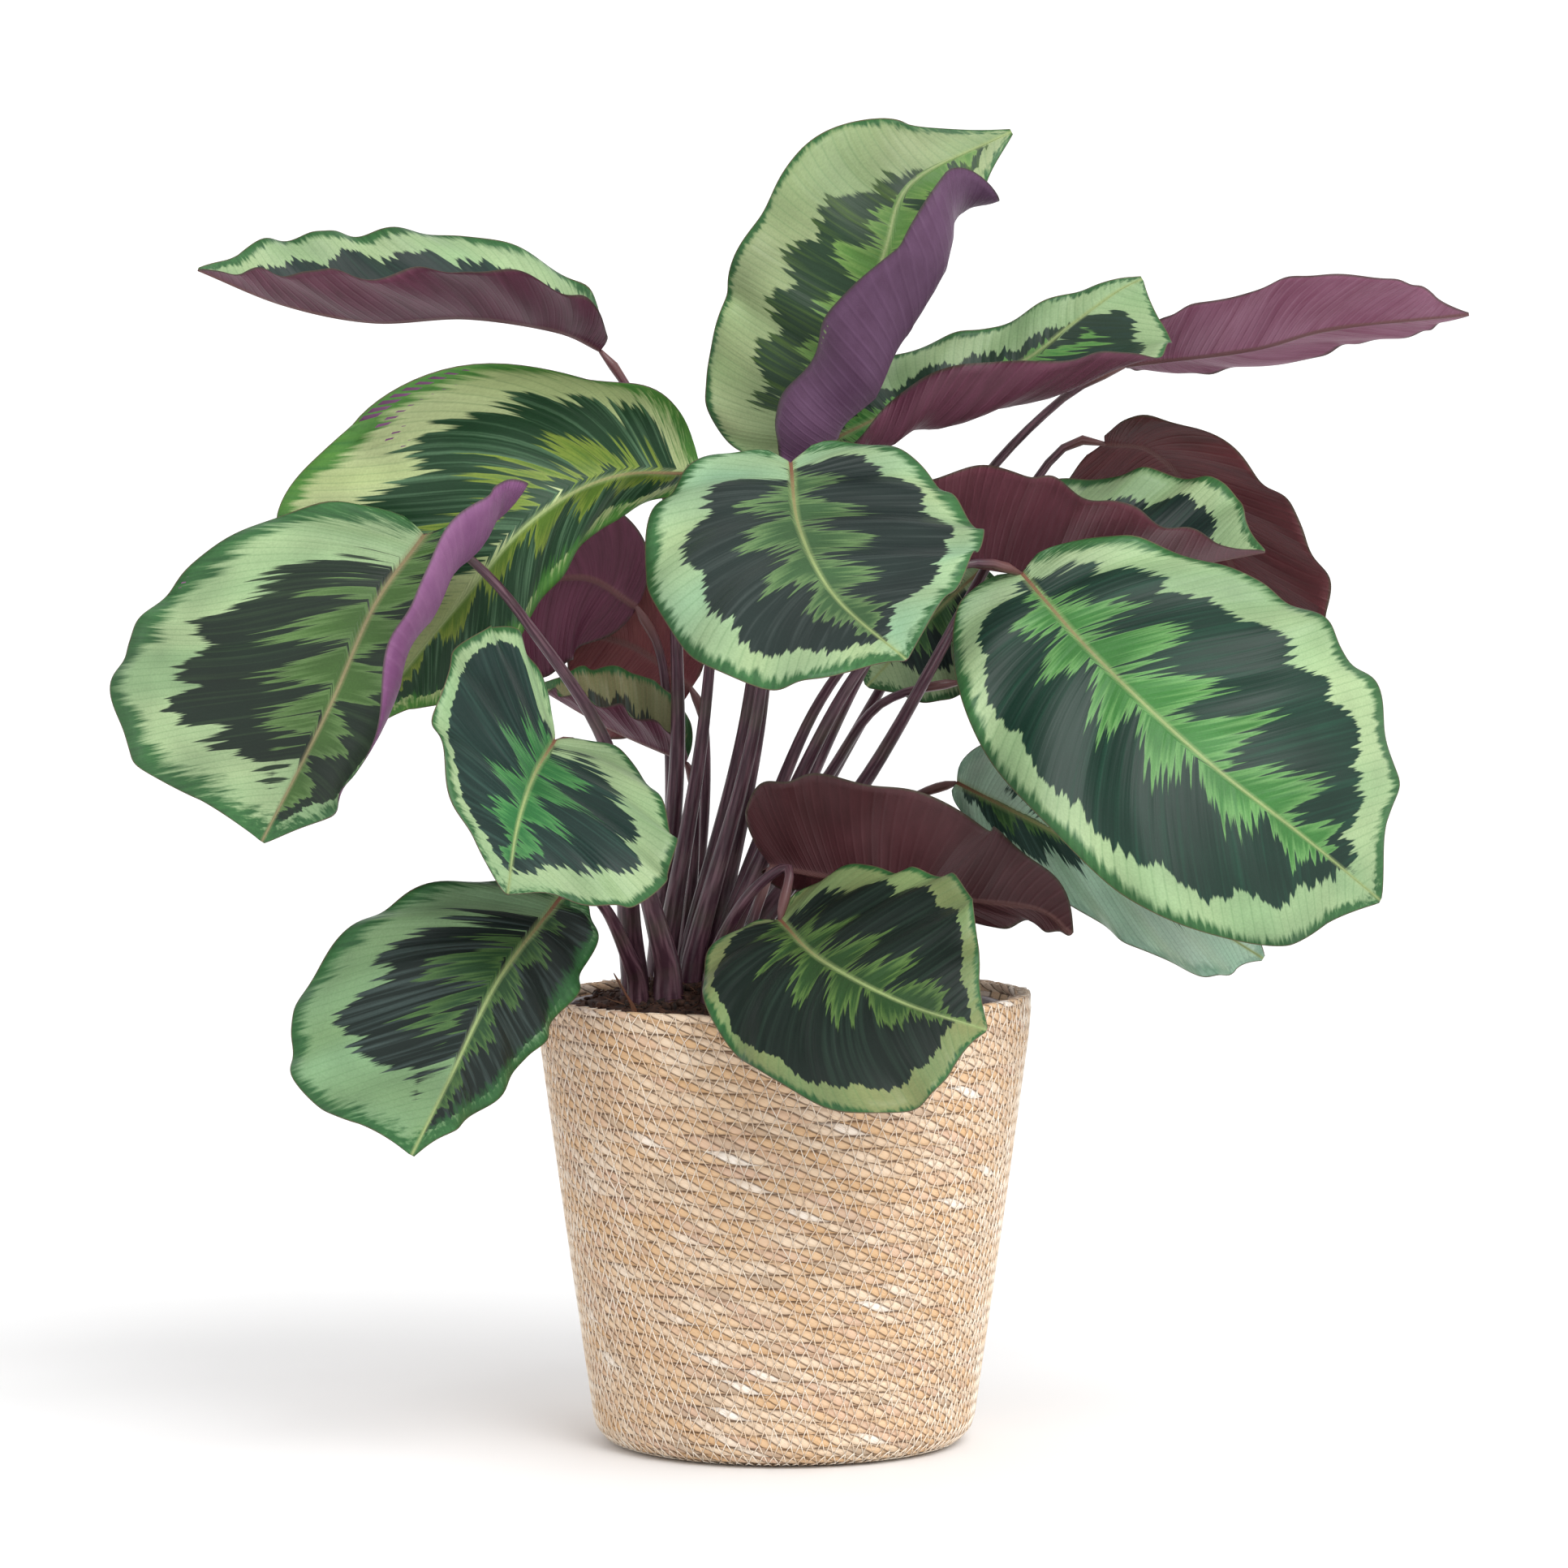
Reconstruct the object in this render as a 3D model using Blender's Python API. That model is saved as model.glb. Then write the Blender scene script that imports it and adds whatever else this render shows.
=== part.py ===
"""A potted calathea: broad patterned leaves on thin stalks, in soil, in a plastic pot inside a seagrass basket.

Lengths are in millimetres until a mesh is made. The origin is the middle of the basket's underside,
+Z is up, and the plant's front looks along -Y, with +X to the right. Every blade, every leaf stalk,
the soil, the inner pot and the basket is a closed solid of its own.
"""

import math
from collections import namedtuple

import bpy
import numpy as np
from mathutils.bvhtree import BVHTree

MM = 0.001
CLEARANCE = 0.35

# Basket: rows of rope coiled into a tapered wall, which rests on a flat round floor.
BASKET_FOOT_RADIUS = 74.0
BASKET_HEIGHT = 208.0
BASKET_SIDE = ((0, 74.0), (3, 84.0), (9, 89.0), (20, 90.5), (104, 102.5), (190, 114.5), (208, 116.0))
BASKET_WALL = 7.0
BASKET_FLOOR = 7.0
BASKET_COILS = 16
BASKET_FIRST_COIL = 4.0
BASKET_RELIEF = 1.3
BASKET_RIM_RISE = 4.0
BASKET_RIM_RISE_AT = math.radians(-60)
BASKET_RIM_RISE_FROM = 120.0
BASKET_SIDES = 36

# Inner pot: a plain tapered plastic pot with a rolled lip, standing on the basket's floor.
POT_FOOT_RADIUS = 74.0
POT_LIP_RADIUS = 105.5
POT_HEIGHT = 199.0
POT_WALL = 1.8
POT_LIP_HEIGHT = 8.0
POT_SIDES = 32

# Soil: fills the inner pot and rises in a mound round the stalks.
SOIL_EDGE_Z = 197.0
SOIL_MOUND = 20.0
SOIL_MOUND_AT = (-40.0, 0.0)
SOIL_MOUND_SPREAD = 55.0
SOIL_SIDES = 30
SOIL_GAP = 0.6
ROOT_Z = 180.0
HOLE_REACH = 44.0
HOLE_CLEARANCE = 0.45

# Dry scale: a thin brown sheath that once wrapped a stalk, standing in the soil.
SCALE_LINE = ((-68, -44, 196), (-70, -45, 209), (-74, -46, 217), (-79, -46, 226))
SCALE_RADII = (1.6, 1.7, 1.4, 1.8, 1.3, 0.9, 0.5)
SCALE_SIDES = 5

# Blade and stalk, the same for every leaf.
WEB = 0.8
MIDRIB = 2.2
TIP_HALF_WIDTH = 1.5
FIRST_VEIN = 0.03
VEIN_SPACING = 0.8
VEIN_BOW = 0.05
ROWS = 18
COLUMNS = 3
RIB_POINTS = 60
RIB_EASE = 9
STALK_RINGS = 10
STALK_SIDES = 6
STALK_END_RADIUS = 1.2
ROUND_END = 0.85
SEAT_STEP = 0.2
LONGEST_SEAT = 12.0
SEAT_ANGLES = tuple(math.radians(angle) for angle in (0, 20, 40, 60, 80))

# Colours, as linear red, green and blue.
LEAF_GREEN = (0.22, 0.42, 0.20)
STALK_PLUM = (0.10, 0.035, 0.05)
SEAGRASS = (0.74, 0.55, 0.34)
DARK_PLASTIC = (0.07, 0.03, 0.045)
DARK_SOIL = (0.03, 0.02, 0.015)
DRY_BROWN = (0.2, 0.07, 0.03)
SEAT_SAMPLES = 100

# One half of a blade: its share of half the width, how far its widest place is pushed towards the tip
# (as a share of the length), and how it folds up at the midrib and curls towards the margin: degrees at
# even steps from the stalk to the tip.
Half = namedtuple("Half", "wide push fold curl")


def leaf(name, rib, face, width, left, right, stalk, **more):
    """One leaf, with the values that most leaves share.

    rib holds the points of its midrib from stalk to tip, face is the way its upper side looks, and stalk
    holds the stalk's foot and the points it passes. lobe and point are shares of the length, turn twists
    the blade about its midrib, and waves, ruffle and quilt are the count and height of its swells.
    """
    values = dict(lobe=0.05, point=0.06, turn=(0, 0), waves=6, ruffle=3.0, quilt=1.6)
    values.update(root_radius=4.2, top_radius=1.9)
    values.update(name=name, rib=rib, face=face, width=width, left=left, right=right, stalk=stalk)
    values.update(more)
    return values


LEAVES = [
    leaf(
        "front_centre",
        rib=((3, -60, 463), (7, -100, 434), (23, -150, 405), (54, -185, 379)),
        face=(0.0, -0.75, 0.65), width=155, lobe=0.12,
        left=Half(1.0, 0.0, (6, 5), (-15, -20)), right=Half(0.94, 0.0, (3, 5), (-25, -20)),
        stalk=((-44, -18), (-40, -20, 240), (-14, -30, 337), (-3, -45, 429)),
    ),
    leaf(
        "right_big",
        rib=((110, -30, 411), (143, -60, 374), (190, -85, 330), (238, -80, 292), (275, -60, 261)),
        face=(0.15, -1.0, 0.4), width=164, lobe=0.05,
        left=Half(1.14, 0.07, (5, 5), (-15, -25)), right=Half(0.9, 0.0, (5, 5), (-20, -20)),
        stalk=((-31, -18), (-26, -20, 240), (7, -32, 315), (35, -42, 367), (73, -48, 410), (93, -42, 416)),
    ),
    leaf(
        "left_front",
        rib=((-104, -100, 338), (-113, -135, 323), (-119, -175, 302), (-122, -195, 276)),
        face=(0.0, -0.7, 0.7), width=134, lobe=0.18, root_radius=6.0,
        left=Half(1.05, 0.25, (0, 0), (-20, -20)), right=Half(0.92, -0.3, (45, 30), (10, 0)),
        stalk=((-54, -32), (-56, -36, 235), (-70, -56, 285), (-90, -84, 330)),
    ),
    leaf(
        "left_low",
        rib=((-102, -85, 265), (-129, -125, 231), (-150, -145, 189), (-167, -156, 155)),
        face=(-0.3, -1.0, 0.4), width=150, lobe=0.06, root_radius=5.0,
        left=Half(0.49, -0.14, (-55, -60), (-10, -10)), right=Half(1.1, 0.2, (10, 5), (-10, -15)),
        stalk=((-68, -28), (-72, -38, 232), (-82, -56, 256), (-93, -75, 268)),
    ),
    leaf(
        "front_right_low",
        rib=((-2, -80, 254), (16, -120, 240), (52, -165, 225), (90, -180, 214)),
        face=(0.0, -0.8, 0.6), width=132, lobe=0.10,
        left=Half(1.0, 0.0, (20, 10), (-15, -15)), right=Half(0.95, 0.12, (10, 5), (-25, -20)),
        stalk=((-34, -36), (-29, -44, 240), (-15, -62, 265), (2, -72, 277)),
    ),
    leaf(
        "left_big",
        rib=((-165, -62, 430), (-187, -84, 398), (-208, -94, 350), (-239, -82, 290)),
        face=(-0.2, -1.0, 0.3), width=190, lobe=0.1, root_radius=5.0,
        left=Half(0.8, -0.3, (0, 0, 0), (150, 150, 150)), right=Half(1.1, 0.26, (5, 5), (-15, -15)),
        stalk=((-70, -10), (-72, -16, 240), (-80, -40, 325), (-120, -54, 391), (-147, -61, 421)),
    ),
    leaf(
        "left_upper",
        rib=((-38, 0, 456), (-80, -18, 455), (-117, -38, 435), (-153, -47, 394), (-202, -36, 334)),
        face=(-0.2, -1.0, 0.5), width=186, lobe=0.0, point=0.1, turn=(15, 0), ruffle=2.0,
        left=Half(0.4, 0.0, (-70, -40), (-10, -10)), right=Half(1.04, 0.16, (0, 0), (220, 150, 10, 10, -10)),
        stalk=((-56, 0), (-54, 0, 240), (-38, 0, 336), (-31, 2, 431)),
    ),
    leaf(
        "top",
        rib=((2, 0, 464), (32, -8, 512), (47, -5, 560), (60, 8, 592), (107, 30, 616)),
        face=(-0.1, -1.0, 0.1), width=142, lobe=0.05, point=0.15,
        left=Half(0.93, -0.12, (0, 0), (-10, 10)),
        right=Half(1.2, 0.0, (0, 0), (290, 205, 127, 123, 110)),
        stalk=((-45, 6), (-42, 8, 240), (-19, 10, 335), (-6, 2, 431)),
    ),
    leaf(
        "top_left",
        rib=((-86, 30, 514), (-107, 25, 523), (-149, 15, 529), (-192, 0, 527), (-233, -10, 535),
             (-272, -20, 551)),
        face=(0.0, -0.1, 1.0), width=105, lobe=0.0,
        left=Half(1.0, 0.0, (30, 25), (10, 0)), right=Half(1.0, 0.0, (50, 50), (-10, -10)),
        stalk=((-60, 16), (-58, 16, 240), (-50, 14, 334), (-56, 30, 449), (-71, 33, 490)),
    ),
    leaf(
        "upper_right",
        rib=((8, 30, 464), (55, 35, 486), (109, 42, 506), (137, 46, 526), (158, 50, 541), (170, 52, 547)),
        face=(0.0, -1.0, 0.35), width=115, lobe=0.0, point=0.04,
        left=Half(0.44, -0.2, (0, 0), (0, -40)), right=Half(1.2, 0.14, (0, 0), (225, 50)),
        stalk=((-36, 16), (-32, 20, 240), (-12, 28, 334), (-2, 30, 430)),
    ),
    leaf(
        "far_right",
        rib=((164, 100, 506), (224, 90, 513), (262, 80, 523), (327, 70, 530)),
        face=(0.0, 0.6, 1.0), width=85, lobe=0.0, waves=4, ruffle=1.2,
        left=Half(0.6, 0.0, (10, 10), (0, 0)), right=Half(0.9, 0.0, (15, 10), (0, 0)),
        stalk=((-24, 24), (-18, 28, 240), (32, 52, 352), (87, 80, 440), (131, 95, 487)),
    ),
    leaf(
        "right_mid",
        rib=((62, 28, 417), (127, 26, 407), (176, 20, 410), (226, 10, 419)),
        face=(0.0, -0.3, 1.0), width=115, lobe=0.05,
        left=Half(1.0, 0.12, (35, 35), (0, 0)), right=Half(1.1, -0.1, (70, 35), (10, 10)),
        stalk=((-32, -3), (-27, -2, 240), (10, 8, 336), (43, 20, 385)),
    ),
    leaf(
        "right_back",
        rib=((153, 68, 469), (176, 76, 465), (199, 92, 441), (225, 100, 392), (249, 100, 345)),
        face=(0.3, 1.0, 0.5), width=140, lobe=0.05,
        left=Half(0.88, -0.15, (0, 0), (20, 40)), right=Half(0.78, 0.05, (-30, -20), (0, 0)),
        stalk=((-20, 10), (-14, 12, 240), (42, 32, 315), (95, 62, 407), (122, 72, 453), (138, 70, 469)),
    ),
    leaf(
        "right_low_back",
        rib=((-6, -50, 276), (51, -40, 265), (82, -18, 258), (119, -8, 252), (135, -5, 240)),
        face=(0.2, 1.0, 0.5), width=100, lobe=0.05, point=0.02,
        left=Half(0.4, 0.0, (20, 20), (0, 0)), right=Half(1.08, -0.28, (0, 0), (0, 0)),
        stalk=((-22, -40), (-19, -44, 235), (-12, -50, 258)),
    ),
    leaf(
        "right_lowest",
        rib=((82, 45, 308), (147, 35, 275), (185, 28, 252), (227, 22, 226)),
        face=(-0.2, -1.0, 0.6), width=90, lobe=0.03,
        left=Half(1.0, 0.0, (30, 30), (0, 0)), right=Half(0.6, 0.12, (-30, -30), (0, 0)),
        stalk=((-10, 32), (-4, 38, 235), (20, 52, 270), (60, 52, 299)),
    ),
    leaf(
        "back_left_red",
        rib=((-44, 60, 352), (-73, 80, 371), (-107, 80, 379)),
        face=(-0.3, 1.0, 0.3), width=90, lobe=0.0,
        left=Half(1.0, 0.0, (0, 0), (0, 0)), right=Half(1.0, 0.0, (0, 0), (0, 0)),
        ruffle=2.0, quilt=1.0,
        stalk=((-46, 40), (-44, 44, 240), (-38, 52, 294), (-38, 58, 334)),
    ),
    leaf(
        "left_folded",
        rib=((-46, 34, 319), (-82, 38, 334), (-118, 42, 354)),
        face=(0.0, -0.3, 1.0), width=60, lobe=0.0,
        left=Half(1.0, 0.0, (50, 25), (10, 10)), right=Half(1.0, 0.0, (60, 25), (0, 0)),
        ruffle=2.0, quilt=1.0,
        stalk=((-48, 28), (-46, 30, 240), (-43, 31, 270), (-42, 33, 302)),
    ),
    leaf(
        "left_behind",
        rib=((-70, 56, 391), (-98, 62, 405), (-140, 62, 392), (-180, 52, 348)),
        face=(-0.3, 1.0, 0.3), width=90, lobe=0.0,
        left=Half(1.0, 0.0, (0, 0), (0, 0)), right=Half(1.0, 0.0, (0, 0), (0, 0)),
        ruffle=0.8, quilt=1.0,
        stalk=((-60, 38), (-58, 44, 240), (-54, 58, 294), (-58, 60, 363)),
    ),
    leaf(
        "back_right_tan",
        rib=((97, 106, 408), (72, 98, 385), (40, 90, 351)),
        face=(-0.3, -1.0, 0.3), width=80, lobe=0.0,
        left=Half(1.0, 0.0, (0, 0), (0, 0)), right=Half(1.0, 0.0, (0, 0), (0, 0)),
        ruffle=2.0, quilt=1.0,
        stalk=((-22, 40), (-16, 48, 240), (25, 100, 311), (72, 122, 390), (90, 118, 412)),
    ),
    leaf(
        "back_right_low",
        rib=((84, 62, 355), (114, 66, 366), (149, 66, 372)),
        face=(0.0, -1.0, 0.6), width=76, lobe=0.0,
        left=Half(1.0, 0.0, (0, 0), (0, 0)), right=Half(1.0, 0.0, (0, 0), (0, 0)),
        ruffle=2.0, quilt=1.0,
        stalk=((-34, 34), (-28, 42, 240), (18, 64, 305), (39, 66, 337), (56, 63, 349)),
    ),
]


def unit(vectors):
    return vectors / np.maximum(np.linalg.norm(vectors, axis=-1, keepdims=True), 1e-9)


def smooth_curve(points, count):
    """count points, evenly spaced along a Catmull-Rom curve through the given ones, and its length."""
    ends = np.asarray(points, float)
    ends = np.vstack([2 * ends[0] - ends[1], ends, 2 * ends[-1] - ends[-2]])
    step = np.linspace(0, 1, 24, endpoint=False)[:, None]
    pieces = []
    for a, b, c, d in zip(ends, ends[1:], ends[2:], ends[3:]):
        bend = (2 * a - 5 * b + 4 * c - d) * step**2 + (3 * b - a - 3 * c + d) * step**3
        pieces.append(0.5 * (2 * b + (c - a) * step + bend))
    dense = np.vstack(pieces + [ends[-2][None]])
    run = np.concatenate([[0], np.cumsum(np.linalg.norm(np.diff(dense, axis=0), axis=1))])
    at = np.linspace(0, run[-1], count)
    return np.stack([np.interp(at, run, dense[:, k]) for k in range(3)], -1), run[-1]


def eased(values, reach):
    """Each row averaged with its neighbours, so that a bend in the rib doesn't crease the blade."""
    weights = np.hanning(2 * reach + 3)[1:-1]
    padded = np.pad(values, ((reach, reach), (0, 0)), mode="edge")
    return np.stack([np.convolve(padded[:, k], weights / weights.sum(), "valid") for k in range(3)], -1)


def along(values, place, share):
    """Each column of values, given along place, read at share."""
    return np.stack([np.interp(share, place, values[:, k]) for k in range(3)], -1)


def rib_frame(spec):
    """The midrib's points and length, and at each point the ways along it, to its right and up from it."""
    curve, length = smooth_curve(spec["rib"], RIB_POINTS)
    tangent = unit(eased(np.gradient(curve, axis=0), RIB_EASE))
    side = unit(np.cross(tangent, unit(np.array(spec["face"], float))))
    normal = unit(np.cross(side, tangent))
    turn = np.radians(np.linspace(*spec["turn"], RIB_POINTS))[:, None]
    side, normal = side * np.cos(turn) + normal * np.sin(turn), normal * np.cos(turn) - side * np.sin(turn)
    return curve, length, tangent, side, normal


def blade_surface(spec, rows, columns):
    """The middle surface of a blade, as a grid from stalk to tip and from its left margin to its right one.

    With it come the way its upper face looks at each point, and the grid's two parameters m and t.

    Each row is a vein: it leaves the midrib near the stalk and reaches the margin further on. The flat
    outline is a stretched circle, with a lobe on each side of the stalk and a drawn-out tip. Each half is
    then folded at the midrib, curled along an arc, waved at its margin and puffed between its veins.
    """
    curve, length, tangent, side, normal = rib_frame(spec)
    place = np.linspace(0, 1, RIB_POINTS)
    half_width = spec["width"] / 2
    m = FIRST_VEIN + (1 - FIRST_VEIN) * np.linspace(0, 1, rows + 1)[:, None] ** VEIN_SPACING
    t = np.linspace(-1, 1, 2 * columns + 1)[None, :]
    out = np.abs(t)
    wide = np.where(t < 0, spec["left"].wide, spec["right"].wide)
    push = np.where(t < 0, spec["left"].push, spec["right"].push)
    round_ = np.pi * m
    edge_x = half_width * wide * np.sin(round_) ** 0.92 + TIP_HALF_WIDTH
    lobe = 1.6 * spec["lobe"] * np.sqrt(np.abs(np.sin(round_))) * ((1 + np.cos(round_)) / 2) ** 2
    edge_y = length * ((1 - np.cos(round_)) / 2 + push * np.sin(round_) - lobe)
    end = np.clip((m - 0.9) / 0.1, 0, 1)
    edge_y = edge_y - length * spec["point"] * (1 - end**2) * np.clip((m - 0.5) / 0.4, 0, 1)
    x = edge_x * out
    y = length * m**1.75 * (1 - out) + edge_y * out - VEIN_BOW * length * out * (1 - out) * np.sin(round_)
    share = np.clip(y / length, 0, 1)

    across = np.zeros_like(x)
    above = np.zeros_like(x)
    slope = np.zeros_like(x)
    for sign, half in ((-1, spec["left"]), (1, spec["right"])):
        fold = np.radians(np.interp(share, np.linspace(0, 1, len(half.fold)), half.fold))
        curl = np.radians(np.interp(share, np.linspace(0, 1, len(half.curl)), half.curl))
        curl = np.where(np.abs(curl) < 0.001, 0.001, curl)
        angle = fold + curl * x / half_width
        here = (t < 0) == (sign < 0)
        across = np.where(here, sign * half_width / curl * (np.sin(angle) - np.sin(fold)), across)
        above = np.where(here, half_width / curl * (np.cos(fold) - np.cos(angle)), above)
        slope = np.where(here, sign * angle, slope)
    slope[:, columns] = (slope[:, columns - 1] + slope[:, columns + 1]) / 2
    phase = 2 * np.pi * spec["waves"] * m + spec["phase"] + 1.3 * (t > 0)
    lift = spec["ruffle"] * out**3 * np.sin(phase) * np.sin(round_) ** 0.5
    lift = lift + spec["quilt"] * np.sin(np.pi * out) * np.cos(phase) * np.sin(round_)
    across = across - np.sin(slope) * lift
    above = above + np.cos(slope) * lift

    past = np.minimum(y, 0) + np.maximum(y - length, 0)
    spine = along(curve, place, share) + along(tangent, place, share) * past[..., None]
    sideways = unit(along(side, place, share))
    upwards = unit(along(normal, place, share))
    facing = upwards * np.cos(slope)[..., None] - sideways * np.sin(slope)[..., None]
    return spine + sideways * across[..., None] + upwards * above[..., None], facing, m, t


def blade_solid(spec):
    """The blade with its thickness: both faces are split alike, and a rib runs below the middle."""
    middle, facing, m, t = blade_surface(spec, ROWS, COLUMNS)
    rib = np.clip(1 - np.abs(t) * COLUMNS, 0, 1) * (1 - 0.8 * m)
    top = middle + facing * WEB / 2
    bottom = middle - facing * (WEB / 2 + (MIDRIB - WEB) * rib[..., None])
    rows, columns = middle.shape[:2]
    count = rows * columns
    i, j = np.meshgrid(np.arange(rows - 1), np.arange(columns - 1), indexing="ij")
    corner = (i * columns + j).ravel()
    beyond = corner + columns
    leftwards = (j < COLUMNS).ravel()
    face = np.vstack(
        [
            np.stack([corner, corner + 1, np.where(leftwards, beyond + 1, beyond)], -1),
            np.stack([np.where(leftwards, corner, corner + 1), beyond + 1, beyond], -1),
        ]
    )
    last = (rows - 1) * columns
    ring = np.concatenate(
        [
            np.arange(columns),
            np.arange(1, rows) * columns + columns - 1,
            last + np.arange(columns - 2, -1, -1),
            np.arange(rows - 2, 0, -1) * columns,
        ]
    )
    after = np.roll(ring, -1)
    wall = np.vstack(
        [
            np.stack([ring, ring + count, after + count], -1),
            np.stack([ring, after + count, after], -1),
        ]
    )
    points = np.vstack([top.reshape(-1, 3), bottom.reshape(-1, 3)])
    return points, np.vstack([face, face[:, ::-1] + count, wall])


def tube(points, radii, sides):
    """A closed tube round the points: a ring of corners at each, and a flat cap at either end."""
    tangent = unit(np.gradient(points, axis=0))
    first = unit(np.cross(tangent, np.array([0.0, -1.0, 0.1])))
    second = np.cross(tangent, first)
    angle = np.linspace(0, 2 * np.pi, sides, endpoint=False)[None, :, None]
    around = first[:, None] * np.cos(angle) + second[:, None] * np.sin(angle)
    rings = points[:, None] + radii[:, None, None] * around
    return closed_rings(rings, points[0], points[-1] + tangent[-1] * radii[-1] * ROUND_END)


def closed_rings(rings, start, end):
    """Points and triangles of a skin over rings of points, closed by a fan to start and one to end."""
    count, sides = rings.shape[:2]
    points = np.vstack([rings.reshape(-1, 3), start[None], end[None]])
    i, j = np.meshgrid(np.arange(count - 1), np.arange(sides), indexing="ij")
    a, b = (i * sides + j).ravel(), (i * sides + (j + 1) % sides).ravel()
    around = np.arange(sides)
    following = (around + 1) % sides
    last = (count - 1) * sides
    first_pole = np.full(sides, count * sides)
    return points, np.vstack(
        [
            np.stack([a, b, b + sides], -1),
            np.stack([a, b + sides, a + sides], -1),
            np.stack([first_pole, following, around], -1),
            np.stack([first_pole + 1, last + around, last + following], -1),
        ]
    )


def stalk_line(spec, end, rings):
    """The stalk's middle line and radii: straight up out of the soil, then through its points to its end."""
    (x, y), *others = spec["stalk"]
    points = [(x, y, ROOT_Z), (x, y, SOIL_EDGE_Z + SOIL_MOUND)] + others + [tuple(end)]
    line, _ = smooth_curve(points, rings)
    share = np.linspace(0, 1, rings)
    radii = spec["root_radius"] + (spec["top_radius"] - spec["root_radius"]) * share**0.7
    taper = np.clip((share - 0.9) / 0.1, 0, 1)
    return line, radii + (STALK_END_RADIUS - radii) * taper


def seat(spec, points, faces):
    """Where the stalk ends: as near the midrib's first point as it can be while it stays clear of the blade.

    It is tried from behind the midrib, from below it and between the two, further off each time round.
    """
    blade = BVHTree.FromPolygons(points.tolist(), faces.tolist())
    curve, _, tangent, _, normal = rib_frame(spec)
    gap = SEAT_STEP
    while gap < LONGEST_SEAT:
        for angle in SEAT_ANGLES:
            end = curve[0] - gap * (tangent[0] * np.cos(angle) + normal[0] * np.sin(angle))
            line, radii = stalk_line(spec, end, STALK_RINGS)
            samples = np.linspace(STALK_RINGS / 2, STALK_RINGS - 1, SEAT_SAMPLES)
            rings = np.arange(STALK_RINGS)
            x, y, z, reach = [np.interp(samples, rings, value) for value in (*line.T, radii)]
            distance = np.array([blade.find_nearest(point)[3] for point in zip(x, y, z)])
            if (distance > reach + CLEARANCE).all():
                return end
        gap += SEAT_STEP
    raise ValueError(spec["name"] + ": the stalk runs through its blade")


def hole_tube(spec):
    """What the stalk's foot takes out of the soil: the foot itself, with clearance, and a little deeper."""
    line, radii = stalk_line(spec, spec["end"], STALK_RINGS)
    inside = line[:, 2] < SOIL_EDGE_Z + HOLE_REACH
    count = max(3, int(np.argmin(inside)) + 1)
    line, radii = line[:count].copy(), radii[:count] + HOLE_CLEARANCE
    line[0, 2] -= CLEARANCE
    return tube(line, radii, STALK_SIDES)


def turned(profile, sides, shape=None):
    """A solid turned round Z from (radius, height) pairs whose first and last lie on the axis."""
    radius, height = np.array(profile[1:-1]).T[:, :, None]
    angle = np.linspace(0, 2 * np.pi, sides, endpoint=False)[None, :]
    rings = np.stack([radius * np.cos(angle), radius * np.sin(angle), height + 0 * angle], -1)
    if shape:
        rings = shape(rings, angle)
    return closed_rings(rings, np.array([0, 0, profile[0][1]]), np.array([0, 0, profile[-1][1]]))


def basket_radius(z):
    return np.interp(z, *zip(*BASKET_SIDE))


def basket_solid():
    """Ridges of rope run up the outside, over a rounded rim and down a plain inner wall to the floor."""
    top = BASKET_HEIGHT
    steps = 2 * BASKET_COILS
    height = np.linspace(BASKET_FIRST_COIL, top, steps + 1)
    groove = BASKET_RELIEF * (np.arange(steps + 1) % 2 == 0)
    outside = [(basket_radius(z) - deep, z) for z, deep in zip(height, groove)]
    rim = [(basket_radius(top) - 2.5, top + 2.5), (basket_radius(top) - BASKET_WALL + 1.5, top + 1.5)]
    inside = [(basket_radius(z) - BASKET_WALL, z) for z in (top - 3, 0.7 * top, 0.4 * top, 0.12 * top)]
    corner = basket_radius(BASKET_FLOOR) - BASKET_WALL - 4
    profile = [(0, 0), (BASKET_FOOT_RADIUS, 0), *outside, *rim, *inside]
    profile += [(corner, BASKET_FLOOR), (0, BASKET_FLOOR)]

    def uneven(rings, angle):
        rise = BASKET_RIM_RISE * (0.5 + 0.5 * np.cos(angle - BASKET_RIM_RISE_AT))
        share = (rings[..., 2] - BASKET_RIM_RISE_FROM) / (top - BASKET_RIM_RISE_FROM)
        rings[..., 2] += rise * np.clip(share, 0, 1)
        return rings

    return turned(profile, BASKET_SIDES, uneven)


def pot_radius(z):
    """Outer radius of the inner pot's wall."""
    height = (BASKET_FLOOR, BASKET_FLOOR + POT_HEIGHT)
    return np.interp(z, height, (POT_FOOT_RADIUS, POT_LIP_RADIUS - POT_WALL))


def pot_solid():
    low = BASKET_FLOOR + CLEARANCE
    high = BASKET_FLOOR + POT_HEIGHT
    under_lip = high - POT_LIP_HEIGHT
    profile = [
        (0, low),
        (POT_FOOT_RADIUS, low),
        (pot_radius(under_lip), under_lip),
        (POT_LIP_RADIUS, under_lip),
        (POT_LIP_RADIUS, high),
        (pot_radius(high) - POT_WALL, high),
        (pot_radius(low + POT_WALL) - POT_WALL, low + POT_WALL),
        (0, low + POT_WALL),
    ]
    return turned(profile, POT_SIDES)


def soil_top(x, y):
    """Height of the soil: a mound round the stalks, with crumbs and hollows as sums of waves."""
    away = np.hypot(x - SOIL_MOUND_AT[0], y - SOIL_MOUND_AT[1])
    mound = SOIL_MOUND * np.exp(-((away / SOIL_MOUND_SPREAD) ** 2))
    crumbs = 1.5 * np.sin(0.21 * x + 1.0) * np.cos(0.17 * y) + 1.0 * np.sin(0.43 * y + 0.29 * x)
    return SOIL_EDGE_Z + mound + crumbs


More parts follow.
